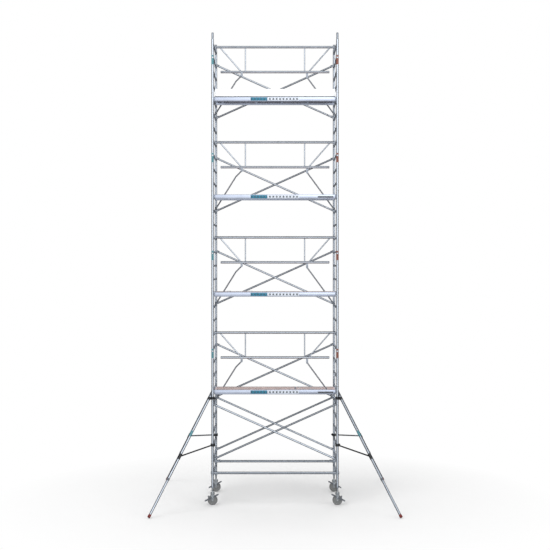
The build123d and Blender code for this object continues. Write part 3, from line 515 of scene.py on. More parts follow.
def rounded(obj, width, segments=2):
    limit = {"limit_method": "ANGLE", "angle_limit": radians(30)}
    return modified(obj, "BEVEL", width=width, segments=segments, **limit)


def cylinder(start, end, radius, sides=32, ends="NGON"):
    """Cylinder between two points, settled in place."""
    start = Vector(start)
    run = Vector(end) - start
    deselect()
    bpy.ops.mesh.primitive_cylinder_add(
        vertices=sides,
        radius=radius,
        depth=run.length,
        end_fill_type=ends,
        location=start + run / 2,
        rotation=run.to_track_quat("Z", "Y").to_euler(),
    )
    return settle(bpy.context.object)


def slab(low, high, edge=0.0):
    """Box between two corners with rounded edges."""
    low = Vector(low)
    high = Vector(high)
    deselect()
    bpy.ops.mesh.primitive_cube_add(size=1.0, location=(low + high) / 2)
    obj = bpy.context.object
    obj.scale = high - low
    settle(obj)
    return rounded(obj, edge) if edge else obj


def ring(major, minor, major_steps=24, minor_steps=8):
    deselect()
    bpy.ops.mesh.primitive_torus_add(
        major_radius=major, minor_radius=minor, major_segments=major_steps, minor_segments=minor_steps
    )
    return settle(bpy.context.object)


def wire(points):
    """Chain of edges through (radius, height) points."""
    mesh = bpy.data.meshes.new("outline")
    edges = [(number, number + 1) for number in range(len(points) - 1)]
    mesh.from_pydata([(radius, 0.0, height) for radius, height in points], edges, [])
    obj = bpy.data.objects.new("outline", mesh)
    bpy.context.scene.collection.objects.link(obj)
    return obj


def turned(points, steps=48):
    """Closed solid spun about the Z axis from (radius, height) points that start and end on the axis."""
    obj = wire(points)
    with editing(obj):
        bpy.ops.mesh.spin(steps=steps, angle=2 * pi, center=(0, 0, 0), axis=(0, 0, 1))
        bpy.ops.mesh.select_all(action="SELECT")
        bpy.ops.mesh.remove_doubles(threshold=0.00001)
        bpy.ops.mesh.normals_make_consistent(inside=False)
    return obj


def turned_ring(points, steps=48):
    """Closed ring spun about the Z axis from a closed (radius, height) outline off the axis."""
    return turned(points + points[:1], steps)


def sleeve(inner, outer, low, high, steps=40):
    """Plain ring between two radii and two heights."""
    return turned_ring([(inner, low), (outer, low), (outer, high), (inner, high)], steps)


def mirrored_ring(half, steps):
    """Ring that is the same above and below Z = 0, from the upper half of its outline."""
    return turned_ring(half + [(radius, -height) for radius, height in reversed(half[:-1])], steps)


def fluted(start, end, radius, rib, ribs):
    """Bar with ribs along it: every other pair of edges of a fine cylinder is drawn in."""
    run = Vector(end) - Vector(start)
    sides = 4 * ribs
    bar = cylinder((0, 0, 0), (0, 0, run.length), radius, sides)
    for vertex in bar.data.vertices:
        step = round(atan2(vertex.co.y, vertex.co.x) / (2 * pi) * sides)
        if step % 4 in (0, 1):
            vertex.co.x *= 1 - rib / radius
            vertex.co.y *= 1 - rib / radius
    return moved(bar, Matrix.Translation(start) @ run.to_track_quat("Z", "Y").to_matrix().to_4x4())


def solids_of(faces):
    """Lists of the faces that make each solid.

    Solids that touch can share an edge, so the faces on its two sides are matched in their order,
    which keeps to one solid because the faces of a solid follow each other.
    """
    edges = {}
    for number, face in enumerate(faces):
        for start, end in zip(face, face[1:] + face[:1]):
            edges.setdefault((min(start, end), max(start, end)), ([], []))[start < end].append(number)
    owner = list(range(len(faces)))

    def root(number):
        while owner[number] != number:
            owner[number] = owner[owner[number]]
            number = owner[number]
        return number

    for one_side, other_side in edges.values():
        for first, second in zip(one_side, other_side):
            owner[root(first)] = root(second)
    solids = {}
    for number, face in enumerate(faces):
        solids.setdefault(root(number), []).append(face)
    return list(solids.values())


def parts_of(node):
    """The solids of a CAD node as separate closed objects."""
    source = frame["nodes"][node].data
    numbers = {}
    places = [tuple(round(part, 6) for part in vertex.co) for vertex in source.vertices]
    corners = [numbers.setdefault(place, len(numbers)) for place in places]
    points = list(numbers)
    parts = []
    for solid in solids_of([[corners[v] for v in polygon.vertices] for polygon in source.polygons]):
        used = sorted({corner for face in solid for corner in face})
        index = {corner: place for place, corner in enumerate(used)}
        mesh = bpy.data.meshes.new(node)
        faces = [[index[corner] for corner in face] for face in solid]
        mesh.from_pydata([points[corner] for corner in used], [], faces)
        part = bpy.data.objects.new(node, mesh)
        bpy.context.scene.collection.objects.link(part)
        parts.append(part)
    return parts


def extent(obj):
    corners = [Vector(corner) for corner in obj.bound_box]
    return corners[6] - corners[0], (corners[6] + corners[0]) / 2


def sorted_parts(node, rule):
    """CAD solids of a node in groups named by a rule on their size and middle."""
    groups = {}
    for part in parts_of(node):
        groups.setdefault(rule(*extent(part)), []).append(part)
    return {name: joined(parts) for name, parts in groups.items()}


def placed(point, x_axis=(1, 0, 0), z_axis=(0, 0, 1)):
    """Matrix at a point with given X and Z directions."""
    z = Vector(z_axis).normalized()
    x = Vector(x_axis)
    x = (x - z * x.dot(z)).normalized()
    y = z.cross(x)
    matrix = Matrix((x, y, z)).transposed().to_4x4()
    matrix.translation = Vector(point)
    return matrix


def dome_head(radius):
    """Rivet head: a low dome with a flat rim, standing on Z = 0."""
    rim = [(0.0, -0.0004), (radius, -0.0004), (radius, 0.0006)]
    crown = [(radius * cos(turn), 0.0006 + radius * 0.45 * sin(turn)) for turn in (0.35, 0.8, 1.2)]
    return turned(rim + crown + [(0.0, 0.0006 + radius * 0.45)], 12)


def hex_head(radius, height):
    """Hexagonal bolt head with a chamfered top, standing on Z = 0."""
    head = cylinder((0, 0, 0), (0, 0, height), radius, 6)
    return rounded(head, radius * 0.12, 1)


def trigger_lever(length=0.062, width=0.012, height=0.012):
    """Sprung trigger: a tapering lever with a raised thumb pad, along +X on Z = 0."""
    lever = slab((0, -width / 2, -0.001), (length, width / 2, height * 0.5))
    with editing(lever):
        bpy.ops.mesh.subdivide(number_cuts=3)
    for vertex in lever.data.vertices:
        share = vertex.co.x / length
        if vertex.co.z > 0:
            vertex.co.z = height * (0.35 + 0.65 * share * share)
        vertex.co.y *= 1.15 - 0.45 * share
    return rounded(lever, 0.0012)


def weld_ring(major, minor):
    """Bead with a rippled back, round the Z axis."""
    bead = ring(major, minor, 24, 6)
    for vertex in bead.data.vertices:
        turn = atan2(vertex.co.y, vertex.co.x)
        lift = 1 + 0.22 * abs(sin(6 * turn))
        axis = Vector((cos(turn), sin(turn), 0)) * major
        vertex.co = axis + (vertex.co - axis) * lift
    return bead


# ---- pieces --------------------------------------------------------------------------------------
def frame_rule(size, _middle):
    if size.z > 0.9:
        return "uprights"
    return "rungs" if size.y > 1.0 else "clips"


def rung_weld(side_y, bead):
    """Bead bent to the upright's curve, at one end of a rung, with the rung's axis at the origin."""
    weld = moved(weld_ring(RUNG_R + bead * 0.4, bead), Matrix.Rotation(radians(90), 4, "X"))
    for vertex in weld.data.vertices:
        across = min(abs(vertex.co.x), UPRIGHT_R)
        surface = (UPRIGHT_R**2 - across**2) ** 0.5
        vertex.co.y = side_y * (HALF_WIDTH - surface) - side_y * vertex.co.y * 0.8
    if side_y > 0:
        weld.data.flip_normals()
    return weld


def build_ladder(node, label, sides, first_rung, rungs):
    """Uprights, ribbed rungs, weld beads and clips of one node of end frames."""
    sizes = bpy.context.scene.scaffold_sizes
    groups = sorted_parts(node, frame_rule)
    finished(groups["uprights"], f"uprights_{label}", "tower", "tube_z", [node])
    bpy.data.objects.remove(groups["rungs"])
    if "clips" in groups:
        finished(groups["clips"], f"clips_{label}", "tower", "steel")
    reach = HALF_WIDTH - UPRIGHT_R * 0.9
    bar = fluted((0, -reach, 0), (0, reach, 0), RUNG_R + sizes.rib_height, sizes.rib_height, 16)
    spots = [
        Matrix.Translation((side * HALF_BAY, 0, rung_z(first_rung + number)))
        for side in sides
        for number in range(rungs)
    ]
    finished(repeated(bar, spots), f"rungs_{label}", "tower", "tube_y", angle=50)
    welds = joined([rung_weld(-1, sizes.weld_r), rung_weld(1, sizes.weld_r)])
    finished(repeated(welds, spots), f"rung_welds_{label}", "tower", "casting")


class SCAFFOLD_OT_frames(bpy.types.Operator):
    """End frames: uprights, ribbed rungs, welds and locking clips"""

    bl_idname = "scaffold.frames"
    bl_label = "End frames"

    def execute(self, context):
        for side_name, side in SIDES:
            for level in range(LEVELS):
                label = f"{side_name}_{level + 1}"
                build_ladder(f"frame_{label}", label, [side], level * RUNGS_PER_FRAME, RUNGS_PER_FRAME)
        build_ladder("top_frames", "top", [-1, 1], LEVELS * RUNGS_PER_FRAME, TOP_FRAME_RUNGS)
        return {"FINISHED"}


class SCAFFOLD_OT_bands(bpy.types.Operator):
    """Coloured bands round the front uprights"""

    bl_idname = "scaffold.bands"
    bl_label = "Frame bands"

    def execute(self, context):
        outer = UPRIGHT_R + context.scene.scaffold_sizes.band_thickness
        inner = UPRIGHT_R - 0.0004
        spans = ((-0.095, 0.030), (0.058, 0.092))
        for side_name, side in SIDES:
            bands = []
            for level in range(1, LEVELS + 1):
                middle = FRAME_BASE + level * FRAME_HEIGHT + FRAME_BAND_RISE
                place = (side * HALF_BAY, -HALF_WIDTH, middle)
                bands += [moved(sleeve(inner, outer, low, high), place) for low, high in spans]
            finished(joined(bands), f"bands_{side_name}", "tower", f"{side_name}_band")
        return {"FINISHED"}


class SCAFFOLD_OT_spigots(bpy.types.Operator):
    """Spigots between the frames and at the top"""

    bl_idname = "scaffold.spigots"
    bl_label = "Spigots"

    def execute(self, context):
        spigots = joined(parts_of("spigots"))
        finished(spigots, "spigot_tubes", "tower", "casting", ["spigots"])
        return {"FINISHED"}


def brace_lines():
    """Left rung, right rung and plane of every diagonal brace."""
    outer = HALF_WIDTH - BRACE_INSET
    inner = outer - BRACE_SPACING
    lines = [(BRACE_MIDDLE, BRACE_BASE, -outer), (BRACE_BASE, BRACE_MIDDLE, -inner)]
    lines += [(BRACE_MIDDLE, BRACE_BASE, inner), (BRACE_BASE, BRACE_MIDDLE, outer)]
    for level in range(LEVELS):
        step = level * RUNGS_PER_FRAME
        lines.append((BRACE_TOP + step, BRACE_MIDDLE + step, inner))
        lines.append((BRACE_MIDDLE + step, BRACE_TOP + step, outer))
    return lines


def brace_rule(size, _middle):
    if size.x < 1.0:
        return "claws"
    if size.z < 0.1:
        return "level"
    return "tubes"


def split_diagonals(tubes):
    """Rising and falling tubes, told apart by which end is higher."""
    with editing(tubes):
        bpy.ops.mesh.separate(type="LOOSE")
    groups = {"rising": [], "falling": []}
    for tube in list(bpy.context.selected_objects):
        left = min(tube.data.vertices, key=lambda vertex: vertex.co.x).co
        right = max(tube.data.vertices, key=lambda vertex: vertex.co.x).co
        groups["rising" if right.z > left.z else "falling"].append(tube)
    return {name: joined(group) for name, group in groups.items()}


class SCAFFOLD_OT_braces(bpy.types.Operator):
    """Horizontal and crossed braces with their claws, triggers and rivets"""

    bl_idname = "scaffold.braces"
    bl_label = "Braces"

    def execute(self, context):
        for node in ("base_braces", "upper_braces"):
            groups = sorted_parts(node, brace_rule)
            for way, tubes in split_diagonals(groups["tubes"]).items():
                replaced = [node] if way == "rising" else []
                finished(tubes, f"{node}_{way}", "tower", f"tube_{way}", replaced)
            if "level" in groups:
                finished(groups["level"], f"{node}_level", "tower", "tube_level")
            finished(rounded(groups["claws"], 0.0015), f"{node}_claws", "tower", "casting")
        triggers = []
        rivets = []
        for left_rung, right_rung, y in brace_lines():
            left = Vector((-HALF_BAY, y, rung_z(left_rung) + BRACE_LIFT))
            right = Vector((HALF_BAY, y, rung_z(right_rung) + BRACE_LIFT))
            along = (right - left).normalized()
            for end, way in ((left, along), (right, -along)):
                up = Vector((-way.z, 0, way.x)) if way.x > 0 else Vector((way.z, 0, -way.x))
                triggers.append(placed(end + way * 0.012 + up * 0.0205, way, up))
                for distance in (0.050, 0.066):
                    for side_y in (-1, 1):
                        point = end + way * distance + Vector((0, side_y * 0.0207, 0))
                        rivets.append(placed(point, way, (0, side_y, 0)))
        z = rung_z(0) + LEVEL_BRACE_LIFT
        for side, side_y in CORNERS.values():
            collar = (side * (HALF_BAY - 0.03), side_y * HALF_WIDTH, z + 0.0265)
            triggers.append(placed(collar, (-side, 0, 0)))
            for distance in (0.075, 0.092):
                point = (side * (HALF_BAY - distance), side_y * (HALF_WIDTH + 0.0268), z)
                rivets.append(placed(point, (1, 0, 0), (0, side_y, 0)))
        finished(repeated(trigger_lever(), triggers), "brace_triggers", "tower", "trigger")
        head = dome_head(context.scene.scaffold_sizes.rivet_r)
        finished(repeated(head, rivets), "brace_rivets", "tower", "steel")
        return {"FINISHED"}


def deck_rule(size, _middle):
    if size.x > 1.5:
        return "beams"
    if size.y > 0.4:
        return "members"
    return "hooks" if size.z > 0.05 else "hinges"


class SCAFFOLD_OT_decks(bpy.types.Operator):
    """Deck beams, members, hooks, boards, ribs, rivets and screws"""

    bl_idname = "scaffold.decks"
    bl_label = "Decks"

    def execute(self, context):
        groups = sorted_parts("deck_frames", deck_rule)
        beams = rounded(groups["beams"], 0.0015)
        finished(beams, "deck_beams", "tower", "beam", ["deck_frames"])
        finished(groups["members"], "deck_members", "tower", "tube_y")
        finished(rounded(groups["hooks"], 0.0015), "deck_hooks", "tower", "casting")
        finished(groups["hinges"], "hatch_hinges", "tower", "steel")
        boards = joined(parts_of("deck_boards"))
        finished(boards, "deck_plywood", "tower", "plywood", ["deck_boards"])
        ribs, rivets, screws, latches = [], [], [], []
        for level in range(LEVELS):
            top = deck_top(level)
            for face, out in ((DECK_FRONT, -1), (DECK_BACK, 1)):
                for low, high in ((0.004, 0.009), (0.080, 0.086)):
                    near = (-BEAM_END, face - 0.0014, top - high)
                    ribs.append(slab(near, (BEAM_END, face + 0.0014, top - low), 0.0008))
                for side in (-1, 1):
                    for inward, drop in ((0.012, 0.018), (0.012, 0.052), (0.012, 0.080), (-0.020, 0.012)):
                        point = (side * (BEAM_END - inward), face, top - drop)
                        rivets.append(placed(point, (1, 0, 0), (0, out, 0)))
                    latch = (side * (HALF_BAY - 0.030), face - out * 0.010, top - 0.055)
                    latches.append(placed(latch, (side, 0, -0.35), (0, out, 0)))
                inner = face - out * 0.047
                screws += [placed((-1.14 + step * 0.19, inner, top)) for step in range(13)]
        # The dark rib finish is painted shade along the edges of the beams.
        finished(joined(ribs), "deck_beam_ribs", "tower", "beam_edge")
        head = dome_head(context.scene.scaffold_sizes.rivet_r)
        finished(repeated(head, rivets), "deck_rivets", "tower", "steel")
        screw = dome_head(0.0062)
        finished(repeated(screw, screws), "deck_screws", "tower", "steel")
        latch = trigger_lever(0.05, 0.014, 0.008)
        finished(repeated(latch, latches), "deck_wind_latches", "tower", "trigger")
        return {"FINISHED"}


class SCAFFOLD_OT_deck_bands(bpy.types.Operator):
    """Plain coloured bands on the deck beams"""

    bl_idname = "scaffold.deck_bands"
    bl_label = "Deck bands"

    def execute(self, context):
        thickness = 2 * context.scene.scaffold_sizes.band_thickness
        edge = thickness * 0.4
        # Name, ends along the front beam, ground and mark colours, then the bars' pitch and half sizes.
        bands = (
            ("teal", -0.49, -0.155, (0.012, 0.15, 0.24), (0.02, 0.055, 0.085), 0.062, 0.20, 0.016),
            ("grey", -0.150, 0.48, (0.55, 0.59, 0.66), (0.10, 0.115, 0.13), 0.068, 0.24, 0.019),
        )
        for level in range(LEVELS):
            top = deck_top(level)
            for name, start, end, ground, mark, *bars in bands:
                label = f"deck_band_{name}_{level + 1}"
                MATERIALS[label] = band_finish(label, ground, mark, top - 0.046, *bars)
                pair = []
                for face, out in ((DECK_FRONT, -1), (DECK_BACK, 1)):
                    first, last = sorted((start * -out, end * -out))
                    near, far = sorted((face, face + out * thickness))
                    pair.append(slab((first, near, top - 0.077), (last, far, top - 0.013), edge))
                finished(joined(pair), label, "tower", label)
        labels = []
        for level in (0, 2):
            top = deck_top(level)
            near = (0.86, DECK_FRONT - thickness, top - 0.064)
            labels.append(slab(near, (1.17, DECK_FRONT, top - 0.034), edge))
        finished(joined(labels), "deck_labels", "tower", "dark_label")
        return {"FINISHED"}


class SCAFFOLD_OT_hatches(bpy.types.Operator):
    """Hatch lids with edge trims, hinges and lift rings"""

    bl_idname = "scaffold.hatches"
    bl_label = "Hatches"

    def execute(self, context):
        trim_width = 0.022
        proud = 0.0012
        for level in range(LEVELS):
            node = f"hatch_{level + 1}"
            groups = sorted_parts(node, lambda size, _middle: "lid" if size.y > 0.3 else "leaves")
            lid = groups["lid"]
            low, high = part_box(node)
            size, middle = extent(lid)
            front, back = middle.y - size.y / 2, middle.y + size.y / 2
            top = deck_top(level)
            finished(lid, f"lid_{level + 1}", node, "plywood", [node])
            finished(groups["leaves"], f"lid_hinges_{level + 1}", node, "steel")
            bottom = top - 0.0125
            edges = [
                slab((low.x, front, bottom), (high.x, front + trim_width, top + proud), 0.0008),
                slab((low.x, back - 0.006, bottom), (high.x, back, top + proud * 0.5), 0.0005),
                slab((low.x, front, bottom), (low.x + trim_width, back, top + proud), 0.0008),
                slab((high.x - trim_width, front, bottom), (high.x, back, top + proud), 0.0008),
            ]
            finished(joined(edges), f"lid_trims_{level + 1}", node, "beam")
            spot = Vector((middle.x, front + 0.065, top))
            plate = moved(slab((-0.06, -0.028, -0.001), (0.06, 0.028, 0.0012), 0.0008), spot)
            handle = moved(ring(0.020, 0.0028, 32, 10), spot + Vector((0, 0, 0.0034)))
            spots = [placed(spot + Vector((side * 0.05, 0, 0.001))) for side in (-1, 1)]
            screws = repeated(dome_head(0.004), spots)
            finished(joined([plate, handle, screws]), f"lid_latch_{level + 1}", node, "steel")
        return {"FINISHED"}


class SCAFFOLD_OT_toe_boards(bpy.types.Operator):
    """Toe boards of the highest deck, their clips, and dark strips round their feet painted as the shade in
    the gap to the deck
    """

    bl_idname = "scaffold.toe_boards"
    bl_label = "Toe boards"

    def execute(self, context):
        groups = sorted_parts("toe_boards", lambda size, _middle: "boards" if size.z > 0.1 else "clips")
        planks = rounded(groups["boards"], 0.003)
        finished(planks, "toe_board_planks", "tower", "toe", ["toe_boards"])
        finished(rounded(groups["clips"], 0.0006, 1), "toe_board_clips", "tower", "toe")
        low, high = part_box("toe_boards")
        top = deck_top(LEVELS - 1)
        board = 0.025
        clip = 0.003
        proud = 0.0036
        half = 0.009
        # Dark strips round the foot of each toe board are painted shade: they stand in for the shadow in the
        # gap between board and deck.
        gap_shade_strips = []
        for y in (low.y + clip, high.y - clip - board):
            near = (low.x + clip, y - proud, top - half)
            gap_shade_strips.append(slab(near, (high.x - clip, y + board + proud, top + half), 0.001))
        finished(joined(gap_shade_strips), "toe_board_seals", "tower", "trigger")
        return {"FINISHED"}


def guardrail_rule(size, _middle):
    if size.x > 1.5:
        return "rails"
    if size.z > 0.3:
        return "struts"
    return "fittings"


class SCAFFOLD_OT_guardrails(bpy.types.Operator):
    """Guardrail frames with hooks, brackets, end caps, welds and triggers"""

    bl_idname = "scaffold.guardrails"
    bl_label = "Guardrails"

    def execute(self, context):
        for level in range(LEVELS):
            number = level + 1
            node = f"guardrail_{number}"
            groups = sorted_parts(node, guardrail_rule)
            finished(groups["rails"], f"rails_{number}", "tower", "tube_x", [node])
            finished(groups["struts"], f"rail_struts_{number}", "tower", "tube_z")
            fittings = rounded(groups["fittings"], 0.0012)
            finished(fittings, f"rail_fittings_{number}", "tower", "casting")
            top = rung_z(10 + level * RUNGS_PER_FRAME) + TOP_RAIL_LIFT
            middle = top - MID_RAIL_DROP
            outline = [(0, -0.03), (0.0225, -0.03), (0.0228, 0.0), (0.0254, 0.001), (0.0254, 0.006)]
            outline += [(0.0235, 0.0085), (0.018, 0.0098), (0, 0.0105)]
            ends, beads, triggers = [], [], []
            for side in (-1, 1):
                ends.append(placed((side * (HALF_BAY - 0.140), 0, middle), (0, 1, 0), (side, 0, 0)))
                beads.append(placed((side * STRUT_X, 0, middle + 0.0245)))
                beads.append(placed((side * STRUT_X, 0, top - 0.0245)))
                low = Vector((side * SLANT_FOOT_X, 0, middle))
                high = Vector((side * SLANT_TOP_X, 0, top))
                way = (high - low).normalized()
                gap = way * (0.026 / way.z)
                beads += [placed(spot, (0, 1, 0), (side * 0.25, 0, 1)) for spot in (low + gap, high - gap)]
                triggers.append(placed((side * (HALF_BAY - 0.055), 0, top + 0.0225), (side, 0, -0.1)))
            for template, places, name, look in (
                (turned(outline, 32), ends, "rail_caps", "cap"),
                (weld_ring(0.0145, 0.0026), beads, "rail_welds", "casting"),
                (trigger_lever(), triggers, "rail_triggers", "trigger"),
            ):
                piece = repeated(template, places)
                finished(piece, f"{name}_{number}", "tower", look)
        return {"FINISHED"}


class SCAFFOLD_OT_guardrail_legs(bpy.types.Operator):
    """Folding legs of the guardrails with their triggers and rivets"""

    bl_idname = "scaffold.guardrail_legs"
    bl_label = "Guardrail legs"

    def execute(self, context):
        for side_name, side in SIDES:
            for level in range(LEVELS):
                number = level + 1
                node = f"guardrail_leg_{side_name}_{number}"
                label = f"{side_name}_{number}"
                tube = joined(parts_of(node))
                finished(tube, f"leg_tube_{label}", node, "tube_leg", [node])
                pivot = Vector(JOINTS[f"guardrail_fold_{label}"]["pos_m"])
                rung = Vector((side * HALF_BAY, pivot.y, rung_z(BRACE_MIDDLE + level * RUNGS_PER_FRAME)))
                start = Vector((KNEE[0], pivot.y, pivot.z - KNEE[1])) if side < 0 else pivot
                up_leg = (start - rung).normalized()
                outward = Vector((side * up_leg.z, 0, -side * up_leg.x))
                place = placed(rung + up_leg * 0.030 + outward * 0.0135, up_leg, outward)
                lever = moved(trigger_lever(0.07, 0.013, 0.013), place)
                finished(lever, f"leg_trigger_{label}", node, "trigger")
                spots = []
                for distance in (0.045, 0.07):
                    for side_y in (-1, 1):
                        point = rung + up_leg * distance + Vector((0, side_y * 0.0138, 0))
                        spots.append(placed(point, up_leg, (0, side_y, 0)))
                rivets = repeated(dome_head(0.004), spots)
                finished(rivets, f"leg_rivets_{label}", node, "steel")
        return {"FINISHED"}


def threaded_bar(length, root, crest, pitch):
    """Rounded thread along +Z from Z = 0, closed at both ends."""
    flank = [(root, 0.0), (root, 0.22), (crest, 0.36), (crest, 0.64), (root, 0.78), (root, 1.0)]
    obj = wire([(radius, share * pitch) for radius, share in flank])
    turns = int(length / pitch)
    modified(
        obj, "SCREW", steps=20, render_steps=20, iterations=turns, screw_offset=pitch, use_merge_vertices=True
    )
    with editing(obj):
        bpy.ops.mesh.remove_doubles(threshold=0.00002)
        bpy.ops.mesh.select_all(action="DESELECT")
        bpy.ops.mesh.select_non_manifold()
        bpy.ops.mesh.edge_face_add()
        bpy.ops.mesh.select_all(action="SELECT")
        bpy.ops.mesh.quads_convert_to_tris()
        bpy.ops.mesh.normals_make_consistent(inside=False)
    return obj


class SCAFFOLD_OT_spindles(bpy.types.Operator):
    """Threaded legs and the notched nuts that carry the frame"""

    bl_idname = "scaffold.spindles"
    bl_label = "Adjustable legs"

    def execute(self, context):
        pitch = context.scene.scaffold_sizes.thread_pitch
        nuts = []
        for name, (side, side_y) in CORNERS.items():
            node = f"leg_spindle_{name}"
            low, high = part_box(node)
            x = side * HALF_BAY
            y = side_y * HALF_WIDTH
            head_top = JOINTS[f"caster_swivel_{name}"]["pos_m"][2] + 0.0003
            thread = threaded_bar(high.z - head_top - 0.06, 0.0172, 0.01895, pitch)
            outline = [(0, 0), (0.0188, 0), (0.0188, 0.010), (0.0172, 0.014), (0.0168, 0.03), (0, 0.03)]
            stem = turned(outline, 32)
            outline = [(0, -0.055), (0.017, -0.055), (0.0232, -0.030), (0.0232, -0.001), (0.021, 0), (0, 0)]
            spindle = joined([
                moved(thread, (x, y, head_top + 0.014)),
                moved(stem, (x, y, head_top)),
                moved(turned(outline, 32), (x, y, high.z)),
                cylinder((x, y, low.z), (x, y, head_top), 0.012, 24),
            ])
            finished(spindle, f"spindle_{name}", f"leg_{name}", "steel", [node], 40)
            outline = [(0.0191, -0.024), (0.0265, -0.024), (0.0285, -0.0215), (0.0288, -0.004), (0.0265, 0)]
            nut = turned_ring(outline + [(0.0191, 0)], 48)
            for vertex in nut.data.vertices:
                turn = atan2(vertex.co.y, vertex.co.x)
                if hypot(vertex.co.x, vertex.co.y) > 0.026 and cos(8 * turn) > 0.55:
                    vertex.co.x *= 0.91
                    vertex.co.y *= 0.91
            moved(nut, (x, y, FRAME_BASE))
            nuts.append(nut)
        finished(joined(nuts), "notched_nuts", "tower", "casting", ["leg_nuts"])
        return {"FINISHED"}


class SCAFFOLD_OT_casters(bpy.types.Operator):
    """Caster forks with swivel race, axle bolts and rivets"""

    bl_idname = "scaffold.casters"
    bl_label = "Caster forks"

    def execute(self, context):
        for name, (side, side_y) in CORNERS.items():
            node = f"caster_fork_{name}"
            body = f"caster_{name}"
            x = side * HALF_BAY
            y = side_y * HALF_WIDTH
            groups = sorted_parts(node, lambda size, _middle: "fork" if size.z > 0.05 else "axle")
            fork = rounded(groups["fork"], 0.0012)
            finished(fork, f"fork_{name}", body, "caster", [node])
            pivot_z = JOINTS[f"brake_press_{name}"]["pos_m"][2]
            heads = []
            for out in (-1, 1):
                bolt_face = (x, y + out * 0.0395, WHEEL_R)
                heads.append(moved(hex_head(0.0098, 0.004), placed(bolt_face, (1, 0, 0), (0, out, 0))))
                pivot_face = (x, y + out * 0.0390, pivot_z)
                washer = turned([(0, 0), (0.0085, 0), (0.0085, 0.0018), (0.006, 0.003), (0, 0.0034)], 24)
                heads.append(moved(washer, placed(pivot_face, (1, 0, 0), (0, out, 0))))
            axle = joined([groups["axle"]] + heads)
            finished(axle, f"axle_{name}", body, "steel")
            outline = [(0.036, 0.0), (0.0418, 0.001), (0.0418, 0.006), (0.0395, 0.0075), (0.0418, 0.009)]
            outline += [(0.0418, 0.013), (0.036, 0.014)]
            crown_z = 2 * WHEEL_R + 0.012
            race = moved(turned_ring(outline), (x, y, crown_z))
            turns = [(2 * number + 1) * pi / 4 for number in range(4)]
            crown = Vector((x, y, crown_z + 0.038))
            spots = [placed(crown + Vector((0.032 * cos(turn), 0.032 * sin(turn), 0))) for turn in turns]
            rivets = repeated(dome_head(0.0042), spots)
            finished(joined([race, rivets]), f"swivel_race_{name}", body, "steel")
        return {"FINISHED"}


class SCAFFOLD_OT_wheels(bpy.types.Operator):
    """Wheels with a tread, ribbed faces and a hub"""

    bl_idname = "scaffold.wheels"
    bl_label = "Wheels"

    def execute(self, context):
        half = 0.023
        core_half = [(0.0102, 0.025), (0.020, 0.025), (0.024, 0.0225), (0.026, 0.012), (0.074, 0.010),
                     (0.079, 0.019), (0.082, half - 0.001), (0.0845, half - 0.0025), (0.0845, 0.0)]
        tread_half = [(0.084, half - 0.003), (0.0868, half - 0.0005), (0.092, half), (0.0965, half - 0.002),
                      (0.0990, half - 0.006), (0.0999, 0.008), (WHEEL_R, 0.0)]
        for name, (side, side_y) in CORNERS.items():
            node = f"wheel_{name}"
            spot = Vector((side * HALF_BAY, side_y * HALF_WIDTH, WHEEL_R))
            to_axle = placed(spot, (1, 0, 0), (0, 1, 0))
            core = [mirrored_ring(core_half, 64)]
            for number in range(8):
                turn = Matrix.Rotation(number * pi / 4, 4, "Z")
                for low, high in ((-0.0185, -0.010), (0.010, 0.0185)):
                    core.append(moved(slab((0.024, -0.003, low), (0.080, 0.003, high), 0.0012), turn))
            core = moved(joined(core), to_axle)
            finished(core, f"wheel_core_{name}", node, "wheel", [node])
            tread = moved(mirrored_ring(tread_half, 72), to_axle)
            finished(tread, f"wheel_tread_{name}", node, "tread")
            bush = moved(sleeve(0.0061, 0.0102, -0.0252, 0.0252, 32), to_axle)
            finished(bush, f"wheel_bush_{name}", node, "steel")
        return {"FINISHED"}


class SCAFFOLD_OT_pedals(bpy.types.Operator):
    """Brake pedals with ribbed foot sleeves"""

    bl_idname = "scaffold.pedals"
    bl_label = "Brake pedals"

    def execute(self, context):
        for name, (side, side_y) in CORNERS.items():
            node = f"brake_pedal_{name}"
            y = side_y * HALF_WIDTH
            pedal = rounded(joined(parts_of(node)), 0.0012)
            finished(pedal, f"pedal_{name}", node, "cap", [node])
            sleeves = []
            for along, height in TREADLES:
                x = side * (HALF_BAY - along)
                sleeves.append(fluted((x, y - 0.032, height), (x, y + 0.032, height), 0.0105, 0.0012, 12))
            finished(joined(sleeves), f"pedal_sleeves_{name}", node, "trigger")
        return {"FINISHED"}


def arm_rule(size, middle):
    if size.length > 1.5:
        return "tube"
    if size.length > 0.6:
        return "strut"
    return "clamps" if middle.z > 1.15 else "sleeve"


def eased_bore(obj, axis, radius, clearance=0.0004):
    """Bore round a vertical axis, opened so that its facets clear the tube when it turns."""
    for vertex in obj.data.vertices:
        arm = Vector((vertex.co.x - axis.x, vertex.co.y - axis.y, 0))
        if arm.length < radius + clearance:
            vertex.co += arm.normalized() * (radius + clearance - arm.length)
    return obj


def stabiliser_line(name):
    """Direction of a stabiliser from its upper clamp to its foot, and the middle of the foot."""
    low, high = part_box(f"stabiliser_foot_{name}")
    return Vector(JOINTS[f"stabiliser_extend_{name}"]["axis"]).normalized(), (low + high) / 2


def clamp_knob():
    """Five-lobed hand knob on a stud, along +Z from Z = 0."""
    stud = cylinder((0, 0, -0.004), (0, 0, 0.022), 0.0045, 16)
    outline = [(0, 0.012), (0.014, 0.012), (0.017, 0.015), (0.017, 0.027), (0.013, 0.031), (0, 0.032)]
    grip = turned(outline, 40)
    for vertex in grip.data.vertices:
        turn = atan2(vertex.co.y, vertex.co.x)
        swell = 1 + 0.24 * max(0.0, cos(5 * turn))
        vertex.co.x *= swell
        vertex.co.y *= swell
    return joined([grip, stud])


